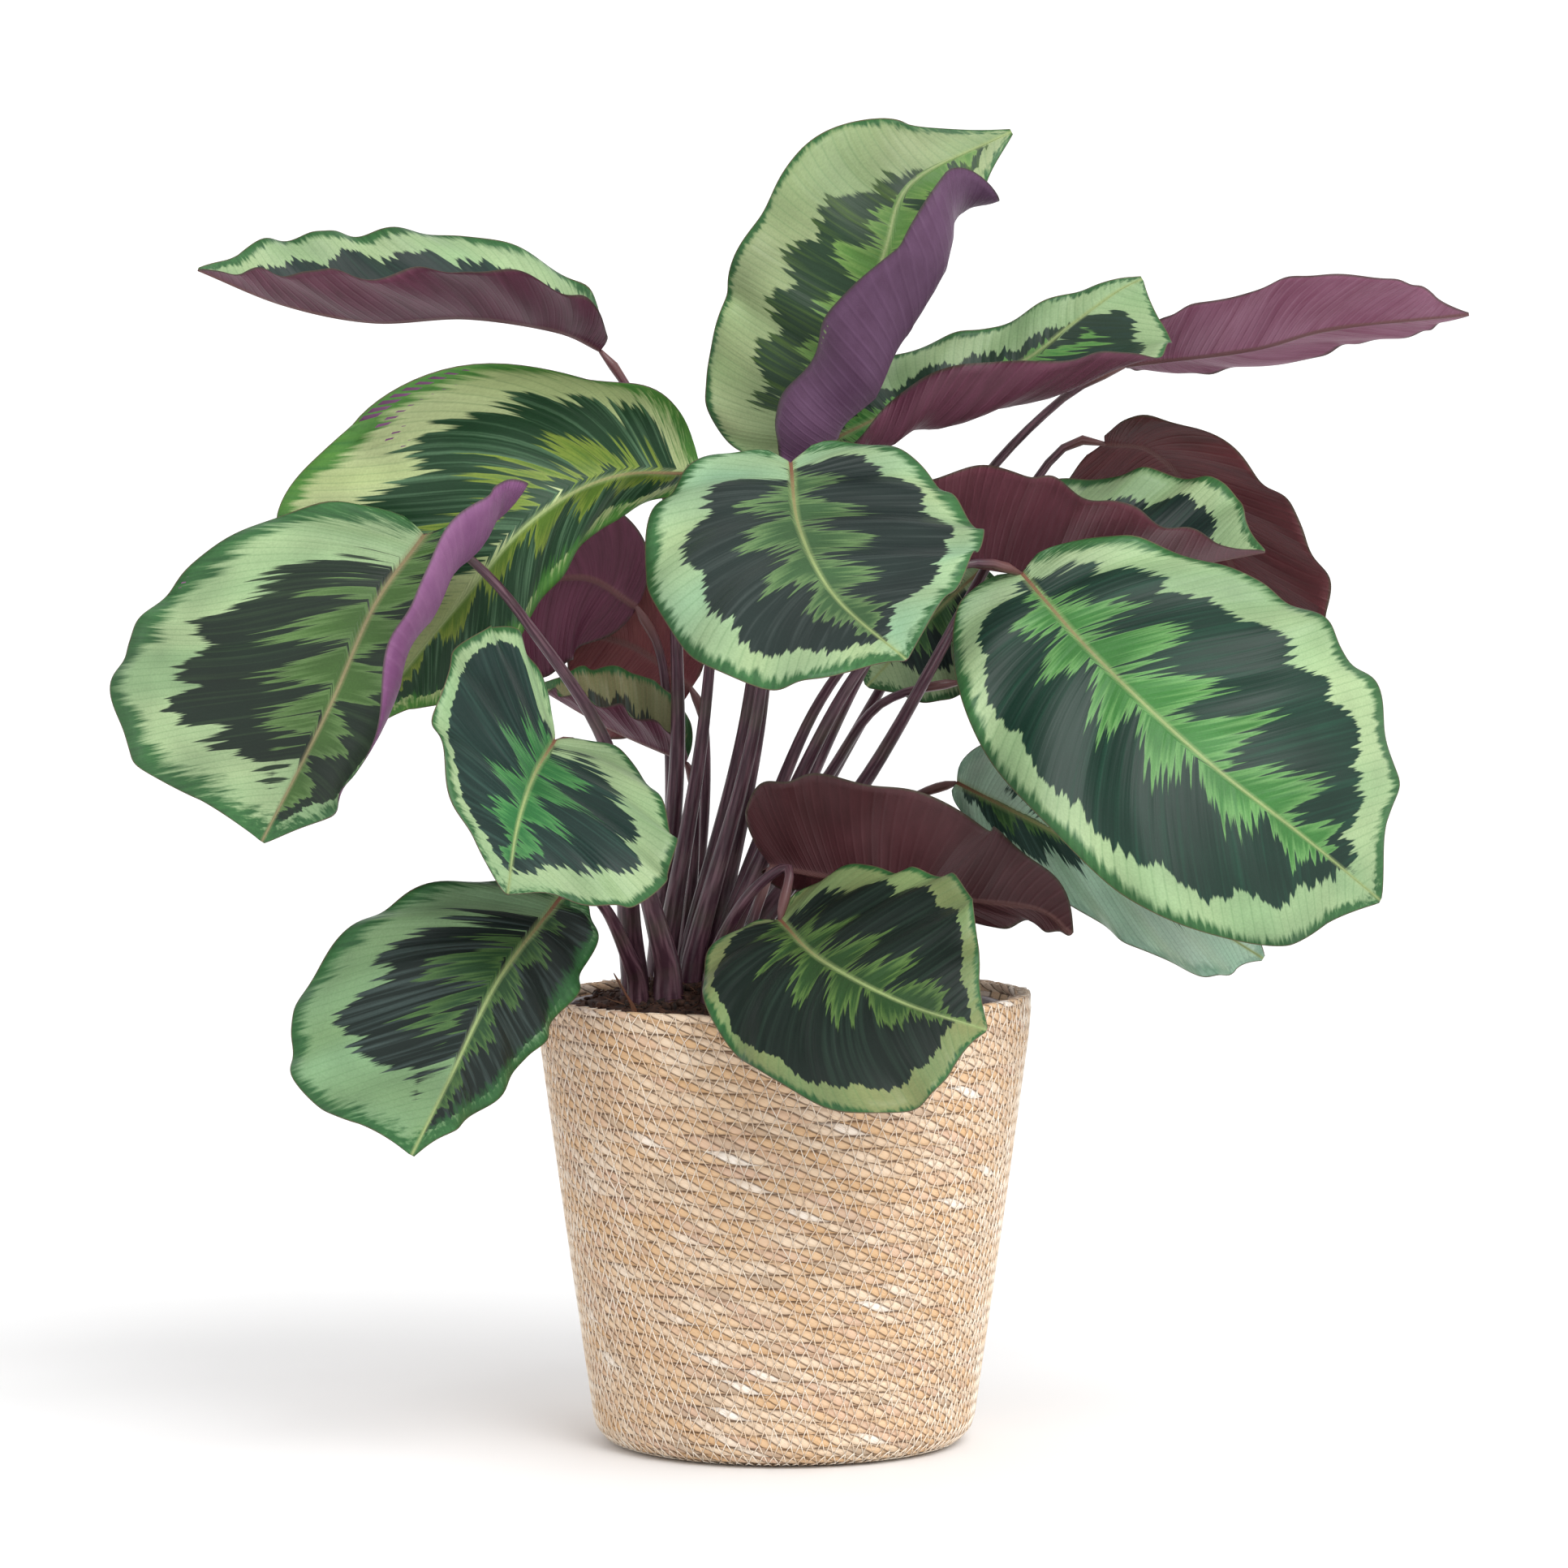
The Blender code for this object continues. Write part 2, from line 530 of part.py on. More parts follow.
def soil_solid():
    low = BASKET_FLOOR + POT_WALL + 2 * CLEARANCE
    gap = POT_WALL + CLEARANCE + SOIL_GAP
    share = (1.0, 0.93, 0.78, 0.62, 0.46, 0.3, 0.14)
    edge = pot_radius(SOIL_EDGE_Z) - gap
    profile = [(0, low), (pot_radius(low) - gap, low)]
    profile += [(edge * s, SOIL_EDGE_Z) for s in share]
    profile += [(0, SOIL_EDGE_Z)]

    def heap(rings, angle):
        rings[1:, :, 2] = soil_top(rings[1:, :, 0], rings[1:, :, 1])
        return rings

    points, faces = turned(profile, SOIL_SIDES, heap)
    points[-1, 2] = soil_top(0.0, 0.0)
    return points, faces


def sheath_solid():
    """The dry scale, as an uneven tube that tapers."""
    line, _ = smooth_curve(SCALE_LINE, len(SCALE_RADII))
    return tube(line, np.array(SCALE_RADII), SCALE_SIDES)


def new_object(name, points, faces, material):
    mesh = bpy.data.meshes.new(name)
    mesh.from_pydata((points * MM).tolist(), [], faces.tolist())
    mesh.update()
    body = bpy.data.objects.new(name, mesh)
    bpy.context.scene.collection.objects.link(body)
    mesh.materials.append(material)
    mesh.shade_smooth()
    mesh.set_sharp_from_angle(angle=math.radians(50))
    return body


def new_material(name, colour, roughness):
    material = bpy.data.materials.new(name)
    material.use_nodes = True
    shader = material.node_tree.nodes["Principled BSDF"]
    shader.inputs["Base Color"].default_value = (*colour, 1)
    shader.inputs["Roughness"].default_value = roughness
    shader.inputs["Metallic"].default_value = 0.0
    return material


def cut_holes(soil):
    """Takes the foot of each stalk out of the soil, one after another."""
    material = soil.data.materials[0]
    feet = [new_object("hole_" + spec["name"], *hole_tube(spec), material) for spec in LEAVES]
    line, _ = smooth_curve(SCALE_LINE, len(SCALE_RADII))
    line[0, 2] -= CLEARANCE
    radii = np.array(SCALE_RADII) + HOLE_CLEARANCE
    feet.append(new_object("hole_scale", *tube(line, radii, SCALE_SIDES), material))
    for foot in feet:
        cut = soil.modifiers.new("hole", "BOOLEAN")
        cut.operation = "DIFFERENCE"
        cut.solver = "EXACT"
        cut.object = foot
        with bpy.context.temp_override(object=soil, active_object=soil):
            bpy.ops.object.modifier_apply(modifier=cut.name)
        bpy.data.objects.remove(foot)


def build_plant():
    """Makes every blade, finds where its stalk meets it, and makes the stalk. phase shifts each one's waves."""
    for number, spec in enumerate(LEAVES):
        spec["phase"] = 1.7 * number
        blade = "blade_" + spec["name"]
        points, faces = blade_solid(spec)
        new_object(blade, points, faces, new_material(blade, LEAF_GREEN, 0.45))
        spec["end"] = seat(spec, points, faces)
        stalk = "stalk_" + spec["name"]
        line, radii = stalk_line(spec, spec["end"], STALK_RINGS)
        new_object(stalk, *tube(line, radii, STALK_SIDES), new_material(stalk, STALK_PLUM, 0.4))


def main():
    for item in list(bpy.data.objects):
        bpy.data.objects.remove(item)
    new_object("basket", *basket_solid(), new_material("basket", SEAGRASS, 0.8))
    new_object("inner_pot", *pot_solid(), new_material("inner_pot", DARK_PLASTIC, 0.4))
    soil = new_object("soil", *soil_solid(), new_material("soil", DARK_SOIL, 1.0))
    build_plant()
    cut_holes(soil)
    new_object("dry_sheath", *sheath_solid(), new_material("dry_sheath", DRY_BROWN, 0.8))


main()
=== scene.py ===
"""The potted calathea's visible model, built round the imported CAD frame.

Lengths are in millimetres until a mesh is made. The origin is the middle of the basket's underside,
+Z is up, and the plant's front looks along -Y, with +X to the right.
"""

import math
from collections import namedtuple
from functools import partial

import bpy
import numpy as np
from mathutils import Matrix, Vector


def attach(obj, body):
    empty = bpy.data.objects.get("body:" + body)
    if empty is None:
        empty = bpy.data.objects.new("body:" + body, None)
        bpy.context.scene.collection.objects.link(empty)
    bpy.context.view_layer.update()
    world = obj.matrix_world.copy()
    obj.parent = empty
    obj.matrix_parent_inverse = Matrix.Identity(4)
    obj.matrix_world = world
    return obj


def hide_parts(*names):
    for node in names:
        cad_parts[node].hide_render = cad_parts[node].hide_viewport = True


bl_info = {
    "name": "Potted calathea",
    "version": (1, 0, 0),
    "blender": (4, 5, 0),
    "location": "3D View > Sidebar > Calathea",
    "description": "Leaves, stalks, soil, pot and seagrass basket of a potted calathea",
    "category": "Add Mesh",
}

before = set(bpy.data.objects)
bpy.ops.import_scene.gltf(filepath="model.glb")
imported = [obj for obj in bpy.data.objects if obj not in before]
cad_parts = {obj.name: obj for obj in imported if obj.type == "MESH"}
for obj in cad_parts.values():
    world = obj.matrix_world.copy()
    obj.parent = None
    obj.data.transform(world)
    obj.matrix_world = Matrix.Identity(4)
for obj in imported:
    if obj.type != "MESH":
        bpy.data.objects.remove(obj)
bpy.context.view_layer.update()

MM = 0.001

# Basket: rows of twisted rope, from the foot up the wall and over the rim.
BASKET_FOOT_RADIUS = 74.0
BASKET_HEIGHT = 208.0
BASKET_SIDE = ((0, 74.0), (3, 84.0), (9, 89.0), (20, 90.5), (104, 102.5), (190, 114.5), (208, 116.0))
BASKET_WALL = 7.0
BASKET_FLOOR = 7.0
BASKET_RIM_RISE = 4.0
BASKET_RIM_RISE_AT = math.radians(-60)
BASKET_RIM_RISE_FROM = 120.0
BASKET_AROUND = 480
OUTLINE_POINTS = 1200
CORNER_EASE = 11
ROW_SAMPLES = 5
ROPE_DEPTH = 1.8
STRAND_LEAN = 1.9
STRAND_DEPTH = 0.45
STRAND_SWELL = 0.22
THREAD_LIFT = 0.4
STITCH_LEAN = 0.38
STITCH_ASIDE = 0.16
STITCH_UP = 0.12

# The girths at which strands and stitches are counted, as shares of the basket's foot.
STRAND_GIRTH = 1.35
STITCH_GIRTH = 1.4

# Inner pot: a plain tapered plastic pot with a rolled lip, standing on the basket's floor.
POT_FOOT_RADIUS = 74.0
POT_LIP_RADIUS = 105.5
POT_HEIGHT = 199.0
POT_WALL = 1.8
POT_LIP_HEIGHT = 8.0
POT_SIDES = 144
CLEARANCE = 0.35

# Soil: fills the inner pot and rises in a mound round the stalks.
SOIL_EDGE_Z = 197.0
SOIL_MOUND = 20.0
SOIL_MOUND_AT = (-40.0, 0.0)
SOIL_MOUND_SPREAD = 55.0
SOIL_GAP = 0.6
SOIL_SIDES = 210
SOIL_RINGS = 70
ROOT_Z = 180.0

# What is strewn on the soil: crumbs, with their radius and how far their corners stand out, and fibres.
STREWN = 26.0
CRUMBS = 1500
CRUMB_LEAST = 0.7
CRUMB_RANGE = 2.0
CRUMB_CORNER = 0.62
FIBRES = 420

# Dry scale: a thin brown sheath that once wrapped a stalk, standing in the soil.
SCALE_LINE = ((-68, -44, 196), (-70, -45, 209), (-74, -46, 217), (-79, -46, 226))
SCALE_WIDTH = 2.1
SCALE_FLATNESS = 0.45
SCALE_TWIST = 2.5
SCALE_RINGS = 40
SCALE_SIDES = 20

# Blade: midrib height, and how its veins run from the midrib to the margin.
MIDRIB = 2.2
TIP_HALF_WIDTH = 1.5
EDGE_FULLNESS = 0.92
FIRST_VEIN = 0.03
VEIN_SPACING = 0.8
VEIN_SWEEP = 1.75
VEIN_BOW = 0.05
ROWS = 120
COLUMNS = 14
COLUMN_EASE = 1.25
RIB_POINTS = 60
RIB_EASE = 9
EDGE_RIPPLE = 0.012
EDGE_RIPPLES = 9
GROUP_SHIFT = 0.4
FLUTTERS = 4.4
PHASE_STEP = 1.7

# Stalk: its tube, the knee just before the blade and the broad foot.
STALK_RINGS = 36
STALK_SIDES = 12
STALK_TOP = 1.9
FURROW = 0.12
SEAT_DEPTH = 1.2
KNEE_FROM_BLADE = 9.0
KNEE_LENGTH = 7.0
KNEE_SWELL = 0.25
FOOT_SWELL = 0.6
FOOT_LENGTH = 0.42

# Camera: the photograph's place, pitch and lens, for a square frame.
CAMERA_AT = (0.0, -3.2, 0.546)
CAMERA_PITCH = math.radians(4.21)
CAMERA_LENS = 156.9
SENSOR = 36.0

# The way to the key light: high at the front right.
KEY_FROM = (1.2, -2.0, 2.2)

# Noises on the leaf: features across, along the vein group and off it, and detail.
LEAF_NOISES = dict(
    lump=((0.7, 0.9, 0.0), 1.0), teeth=((1.4, 12.0, 0.0), 3.0), comb=((1.2, 13.0, 0.0), 3.0),
    fuzz=((4.0, 15.0, 0.0), 3.0), sheen=((1.0, 12.0, 0.0), 2.0),
)

# How the bands of the upper face meet, as shares of the pale band's width or of the way to the margin.
LUMP_SHIFT = 0.3
TEETH = 0.8
NOTCH = 0.5
LUMPS = 0.5
PALE_INWARDS = 0.84
CENTRE_BASE = 0.09
CENTRE_REACH = 0.27
COMB = 0.85
CENTRE_KEEPS_OFF = 0.35
VEINS_IN_GROUP = 7.0

# Tones of the leaf's two sides, which a leaf's own look may change; dark_sheen is a painted highlight.
UPPER_LOOK = dict(
    pale="#9FC28E", pale_deep="#BAD49F", vein="#5F8F58", dark="#1C312C", dark_sheen="#29453A",
    centre="#3A6B3A", centre_light="#6F9F5A", margin="#3F7F43", margin_deep="#2A6234",
    rib_foot="#9A6A50", rib_tip="#A9BE7C", rim="#7A6A50",
)
UNDER_LOOK = dict(wine="#5A2C3C", wine_light="#7A4058", wine_rib="#7E5450", wine_rim="#4A4A34")

# One half of a blade: its share of half the width, how far its widest place is pushed towards the tip
# (as a share of the length), and how it folds up at the midrib and curls towards the margin: degrees at
# even steps from the stalk to the tip.
Half = namedtuple("Half", "wide push fold curl")
FLAT_HALF = (1.0, 0.0, (0, 0), (0, 0))


def leaf(name, rib, face, width, stalk, left=FLAT_HALF, right=FLAT_HALF, **more):
    """One leaf, with the values that most leaves share.

    rib holds the points of its midrib from stalk to tip, face is the way its upper side looks, and stalk
    holds the stalk's foot and the points it passes. lobe and point are shares of the length, turn twists
    the blade about its midrib, and waves, ruffle and quilt are the count and height of its swells. pale
    holds the widths of its pale band with the green edge from stalk to tip, for its left and its right
    half, margin is the green edge's own width, groups the count of its dark scallops a side, pleat and
    flutter the heights of its finer form, and look its own tones.
    """
    values = dict(lobe=0.05, point=0.06, turn=(0, 0), waves=6, ruffle=3.0, quilt=1.6, root_radius=4.2)
    values.update(pale=((18, 18), (18, 18)), margin=3.5, groups=7, pleat=1.1, flutter=1.0, look={})
    values.update(name=name, rib=rib, face=face, width=width, stalk=stalk)
    values.update(left=Half(*left), right=Half(*right), **more)
    return values


LEAVES = [
    leaf(
        "front_centre", rib=((3, -60, 463), (7, -100, 434), (23, -150, 405), (54, -185, 379)),
        face=(0.0, -0.75, 0.65), width=155, left=(1.0, 0.0, (6, 5), (-15, -20)),
        right=(0.94, 0.0, (3, 5), (-25, -20)),
        stalk=((-44, -18), (-40, -20, 240), (-14, -30, 337), (-3, -45, 429)), lobe=0.12,
        pale=((17, 17), (20, 26, 24, 14)), margin=5.0,
        look=dict(
            dark="#23332F", dark_sheen="#3E4B47", pale="#A2CDA4", pale_deep="#B6D09A", centre="#456A40",
            centre_light="#7C9E64",
        ),
    ),
    leaf(
        "right_big",
        rib=((110, -30, 411), (143, -60, 374), (190, -85, 330), (238, -80, 292), (275, -60, 261)),
        face=(0.15, -1.0, 0.4), width=164, left=(1.14, 0.07, (5, 5), (-15, -25)),
        right=(0.9, 0.0, (5, 5), (-20, -20)),
        stalk=((-31, -18), (-26, -20, 240), (7, -32, 315), (35, -42, 367), (73, -48, 410), (93, -42, 416)),
        pale=((10, 24, 31, 21), (14, 16, 20, 22)), groups=9, margin=5.0,
        look=dict(centre="#45883F", centre_light="#80B96C", dark="#15382B", dark_sheen="#1E4A38"),
    ),
    leaf(
        "left_front", rib=((-104, -100, 338), (-113, -135, 323), (-119, -175, 302), (-122, -195, 276)),
        face=(0.0, -0.7, 0.7), width=134, left=(1.05, 0.25, (0, 0), (-20, -20)),
        right=(0.92, -0.3, (45, 30), (10, 0)),
        stalk=((-54, -32), (-56, -36, 235), (-70, -56, 285), (-90, -84, 330)), lobe=0.18, root_radius=6.0,
        pale=((16, 24, 22, 12), (18, 9, 8, 8)), margin=3.0,
        look=dict(centre="#357A42", centre_light="#5FA35C", dark="#1C3630", dark_sheen="#2E4E44"),
    ),
    leaf(
        "left_low", rib=((-102, -85, 265), (-129, -125, 231), (-150, -145, 189), (-167, -156, 155)),
        face=(-0.3, -1.0, 0.4), width=150, left=(0.49, -0.14, (-55, -60), (-10, -10)),
        right=(1.1, 0.2, (10, 5), (-10, -15)),
        stalk=((-68, -28), (-72, -38, 232), (-82, -56, 256), (-93, -75, 268)), lobe=0.06, root_radius=5.0,
        pale=((4, 5, 8), (16, 24, 29, 34, 30)), margin=7.0,
        # Its dark_sheen is a painted highlight: blue-grey gloss streaks on the dark band.
        look=dict(
            dark="#13241F", dark_sheen="#42534F", centre="#2F5430", centre_light="#5F8648", pale="#8DB486",
            pale_deep="#8BAE78",
        ),
    ),
    leaf(
        "front_right_low", rib=((-2, -80, 254), (16, -120, 240), (52, -165, 225), (90, -180, 214)),
        face=(0.0, -0.8, 0.6), width=132, left=(1.0, 0.0, (20, 10), (-15, -15)),
        right=(0.95, 0.12, (10, 5), (-25, -20)),
        stalk=((-34, -36), (-29, -44, 240), (-15, -62, 265), (2, -72, 277)), lobe=0.10,
        pale=((16, 18, 12, 7), (8, 7, 12, 14)), margin=2.5,
        look=dict(
            pale="#96A068", pale_deep="#8BA56C", dark="#16261F", dark_sheen="#24382D", centre="#33552C",
            centre_light="#6C8E48",
        ),
    ),
    leaf(
        "left_big", rib=((-165, -62, 430), (-187, -84, 398), (-208, -94, 350), (-239, -82, 290)),
        face=(-0.2, -1.0, 0.3), width=190, left=(0.8, -0.3, (0, 0, 0), (150, 150, 150)),
        right=(1.1, 0.26, (5, 5), (-15, -15)),
        stalk=((-70, -10), (-72, -16, 240), (-80, -40, 325), (-120, -54, 391), (-147, -61, 421)), lobe=0.1,
        root_radius=5.0, pale=((8, 8), (19, 30, 37, 35, 30)), groups=9, margin=9.0,
        look=dict(
            dark="#1F2F24", dark_sheen="#30442F", centre="#4E7238", centre_light="#74965A", wine="#8E5688",
            wine_light="#A06A98", rib_foot="#9C8A62", rib_tip="#A49A70",
        ),
    ),
    leaf(
        "left_upper",
        rib=((-38, 0, 456), (-80, -18, 455), (-117, -38, 435), (-153, -47, 394), (-202, -36, 334)),
        face=(-0.2, -1.0, 0.5), width=186, left=(0.4, 0.0, (-70, -40), (-10, -10)),
        right=(1.04, 0.16, (0, 0), (220, 150, 10, 10, -10)),
        stalk=((-56, 0), (-54, 0, 240), (-38, 0, 336), (-31, 2, 431)), lobe=0.0, point=0.1, turn=(15, 0),
        ruffle=2.0, pale=((12, 8, 6), (6, 18, 40, 54, 54)), groups=9, margin=7.0, pleat=0.3, flutter=0.3,
        # Its dark_sheen is a painted highlight: pale gloss streaks on the dark band.
        look=dict(
            pale="#BACF86", pale_deep="#CFDEA2", dark="#1C4426", dark_sheen="#587F5C", centre="#5F8228",
            centre_light="#93A840", margin="#5FA03A", margin_deep="#3E8434", wine="#8E5688",
            wine_light="#9A6492",
        ),
    ),
    leaf(
        "top", rib=((2, 0, 464), (32, -8, 512), (47, -5, 560), (60, 8, 592), (107, 30, 616)),
        face=(-0.1, -1.0, 0.1), width=142, left=(0.93, -0.12, (0, 0), (-10, 10)),
        right=(1.2, 0.0, (0, 0), (290, 205, 127, 123, 110)),
        stalk=((-45, 6), (-42, 8, 240), (-19, 10, 335), (-6, 2, 431)), point=0.15,
        pale=((17, 30, 30, 26), (8, 8)), groups=9, margin=2.5,
        look=dict(
            pale="#95B078", pale_deep="#B0C08C", dark="#26442A", dark_sheen="#4C6A2C", centre="#5E8F3E",
            centre_light="#86AC5A", wine="#5E3A5A", wine_light="#6E4A6C",
        ),
    ),
    leaf(
        "top_left",
        rib=(
            (-86, 30, 514), (-107, 25, 523), (-149, 15, 529), (-192, 0, 527), (-233, -10, 535), (-272, -20,
            551),
        ), face=(0.0, -0.1, 1.0), width=105, left=(1.0, 0.0, (30, 25), (10, 0)),
        right=(1.0, 0.0, (50, 50), (-10, -10)),
        stalk=((-60, 16), (-58, 16, 240), (-50, 14, 334), (-56, 30, 449), (-71, 33, 490)), lobe=0.0,
        groups=8,
    ),
    leaf(
        "upper_right",
        rib=((8, 30, 464), (55, 35, 486), (109, 42, 506), (137, 46, 526), (158, 50, 541), (170, 52, 547)),
        face=(0.0, -1.0, 0.35), width=115, left=(0.44, -0.2, (0, 0), (0, -40)),
        right=(1.2, 0.14, (0, 0), (225, 50)),
        stalk=((-36, 16), (-32, 20, 240), (-12, 28, 334), (-2, 30, 430)), lobe=0.0, point=0.04,
        pale=((14, 16), (16, 18)), groups=8, margin=2.5,
        look=dict(pale="#9CC089", dark="#27412F", centre="#4F9448", centre_light="#7DB45E"),
    ),
    leaf(
        "far_right", rib=((164, 100, 506), (224, 90, 513), (262, 80, 523), (327, 70, 530)),
        face=(0.0, 0.6, 1.0), width=85, left=(0.6, 0.0, (10, 10), (0, 0)),
        right=(0.9, 0.0, (15, 10), (0, 0)),
        stalk=((-24, 24), (-18, 28, 240), (32, 52, 352), (87, 80, 440), (131, 95, 487)), lobe=0.0, waves=4,
        ruffle=1.2, groups=8, look=dict(wine="#8C4A68", wine_light="#A8708C"),
    ),
    leaf(
        "right_mid", rib=((62, 28, 417), (127, 26, 407), (176, 20, 410), (226, 10, 419)),
        face=(0.0, -0.3, 1.0), width=115, left=(1.0, 0.12, (35, 35), (0, 0)),
        right=(1.1, -0.1, (70, 35), (10, 10)),
        stalk=((-32, -3), (-27, -2, 240), (10, 8, 336), (43, 20, 385)), groups=8,
        look=dict(wine="#642C38", wine_light="#7C3F4E"),
    ),
    leaf(
        "right_back",
        rib=((153, 68, 469), (176, 76, 465), (199, 92, 441), (225, 100, 392), (249, 100, 345)),
        face=(0.3, 1.0, 0.5), width=140, left=(0.88, -0.15, (0, 0), (20, 40)),
        right=(0.78, 0.05, (-30, -20), (0, 0)),
        stalk=((-20, 10), (-14, 12, 240), (42, 32, 315), (95, 62, 407), (122, 72, 453), (138, 70, 469)),
        look=dict(wine="#5A2A2E", wine_light="#7A3A40"),
    ),
    leaf(
        "right_low_back",
        rib=((-6, -50, 276), (51, -40, 265), (82, -18, 258), (119, -8, 252), (135, -5, 240)),
        face=(0.2, 1.0, 0.5), width=100, left=(0.4, 0.0, (20, 20), (0, 0)),
        right=(1.08, -0.28, (0, 0), (0, 0)), stalk=((-22, -40), (-19, -44, 235), (-12, -50, 258)),
        point=0.02, look=dict(wine="#4A2226", wine_light="#5E3036"),
    ),
    leaf(
        "right_lowest", rib=((82, 45, 308), (147, 35, 275), (185, 28, 252), (227, 22, 226)),
        face=(-0.2, -1.0, 0.6), width=90, left=(1.0, 0.0, (30, 30), (0, 0)),
        right=(0.6, 0.12, (-30, -30), (0, 0)),
        stalk=((-10, 32), (-4, 38, 235), (20, 52, 270), (60, 52, 299)), lobe=0.03,
        pale=((30, 34), (6, 9, 26, 36)), groups=8, flutter=2.4,
        # Its tones are painted lighter than its skin: painted light that makes up for the shade it lies in.
        look=dict(
            pale="#C6F2D2", pale_deep="#D8FAE0", margin="#8CBC9C", margin_deep="#B4DCC2", dark="#2E4E44",
            dark_sheen="#4A6E62",
        ),
    ),
    leaf(
        "back_left_red", rib=((-44, 60, 352), (-73, 80, 371), (-107, 80, 379)), face=(-0.3, 1.0, 0.3),
        width=90, stalk=((-46, 40), (-44, 44, 240), (-38, 52, 294), (-38, 58, 334)), lobe=0.0, ruffle=2.0,
        quilt=1.0, look=dict(wine="#7A3A40", wine_light="#8A4A4A"),
    ),
    leaf(
        "left_folded", rib=((-46, 34, 319), (-82, 38, 334), (-118, 42, 354)), face=(0.0, -0.3, 1.0),
        width=60, left=(1.0, 0.0, (50, 25), (10, 10)), right=(1.0, 0.0, (60, 25), (0, 0)),
        stalk=((-48, 28), (-46, 30, 240), (-43, 31, 270), (-42, 33, 302)), lobe=0.0, ruffle=2.0, quilt=1.0,
        look=dict(pale="#8A8C60", pale_deep="#9A9668", dark="#3A3A2A"),
    ),
    leaf(
        "left_behind", rib=((-70, 56, 391), (-98, 62, 405), (-140, 62, 392), (-180, 52, 348)),
        face=(-0.3, 1.0, 0.3), width=90, stalk=((-60, 38), (-58, 44, 240), (-54, 58, 294), (-58, 60, 363)),
        lobe=0.0, ruffle=0.8, quilt=1.0,
    ),
    leaf(
        "back_right_tan", rib=((97, 106, 408), (72, 98, 385), (40, 90, 351)), face=(-0.3, -1.0, 0.3),
        width=80, stalk=((-22, 40), (-16, 48, 240), (25, 100, 311), (72, 122, 390), (90, 118, 412)),
        lobe=0.0, ruffle=2.0, quilt=1.0,
    ),
    leaf(
        "back_right_low", rib=((84, 62, 355), (114, 66, 366), (149, 66, 372)), face=(0.0, -1.0, 0.6),
        width=76, stalk=((-34, 34), (-28, 42, 240), (18, 64, 305), (39, 66, 337), (56, 63, 349)), lobe=0.0,
        ruffle=2.0, quilt=1.0,
    ),
]


def unit(vectors):
    """Vectors scaled to a length of one."""
    return vectors / np.maximum(np.linalg.norm(vectors, axis=-1, keepdims=True), 1e-9)


def joined(*parts):
    """Arrays spread to their common shape and set side by side along a new last axis."""
    return np.stack(np.broadcast_arrays(*parts), -1)


def turns(count):
    """Angles at even steps once round, as one row."""
    return np.linspace(0, 2 * np.pi, count, endpoint=False)[None, :]


def polar(radius, angle, height):
    """Points at a radius from the Z axis, an angle round it and a height."""
    return joined(radius * np.cos(angle), radius * np.sin(angle), height)


def turned(profile, angle):
    """Rings of points: pairs of radius and height turned round the Z axis."""
    radius, height = np.array(profile, float).T[:, :, None]
    return polar(radius, angle, height)


def even(values, share):
    """Values given at even steps from 0 to 1, read at share."""
    return np.interp(share, np.linspace(0, 1, len(values)), values)


def along(values, place, share):
    """Each column of values, given along place, read at share."""
    return np.stack([np.interp(share, place, column) for column in values.T], -1)


def run_along(points):
    """How far along a line each of its points lies."""
    return np.concatenate([[0], np.cumsum(np.linalg.norm(np.diff(points, axis=0), axis=1))])


def smooth_curve(points, count):
    """count points, evenly spaced along a Catmull-Rom curve through the given ones, and its length."""
    ends = np.asarray(points, float)
    ends = np.vstack([2 * ends[0] - ends[1], ends, 2 * ends[-1] - ends[-2]])
    step = np.linspace(0, 1, 24, endpoint=False)[:, None]
    pieces = []
    for a, b, c, d in zip(ends, ends[1:], ends[2:], ends[3:]):
        bend = (2 * a - 5 * b + 4 * c - d) * step**2 + (3 * b - a - 3 * c + d) * step**3
        pieces.append(0.5 * (2 * b + (c - a) * step + bend))
    dense = np.vstack(pieces + [ends[-2][None]])
    run = run_along(dense)
    return along(dense, run, np.linspace(0, run[-1], count)), run[-1]


def eased(values, reach):
    """Each row averaged with its neighbours, so that a bend doesn't crease what follows it."""
    weights = np.hanning(2 * reach + 3)[1:-1]
    padded = np.pad(values, ((reach, reach), (0, 0)), mode="edge")
    return np.stack([np.convolve(column, weights / weights.sum(), "valid") for column in padded.T], -1)


def rolled(one, two, angle):
    """Two ways square to each other, turned in their own plane by an angle."""
    return one * np.cos(angle) + two * np.sin(angle), two * np.cos(angle) - one * np.sin(angle)


def rib_frame(spec):
    """The midrib's points and length, and at each point the ways along it, to its right and up from it."""
    curve, length = smooth_curve(spec["rib"], RIB_POINTS)
    tangent = unit(eased(np.gradient(curve, axis=0), RIB_EASE))
    side = unit(np.cross(tangent, unit(np.array(spec["face"], float))))
    normal = unit(np.cross(side, tangent))
    turn = np.radians(np.linspace(*spec["turn"], RIB_POINTS))[:, None]
    return curve, length, tangent, *rolled(side, normal, turn)


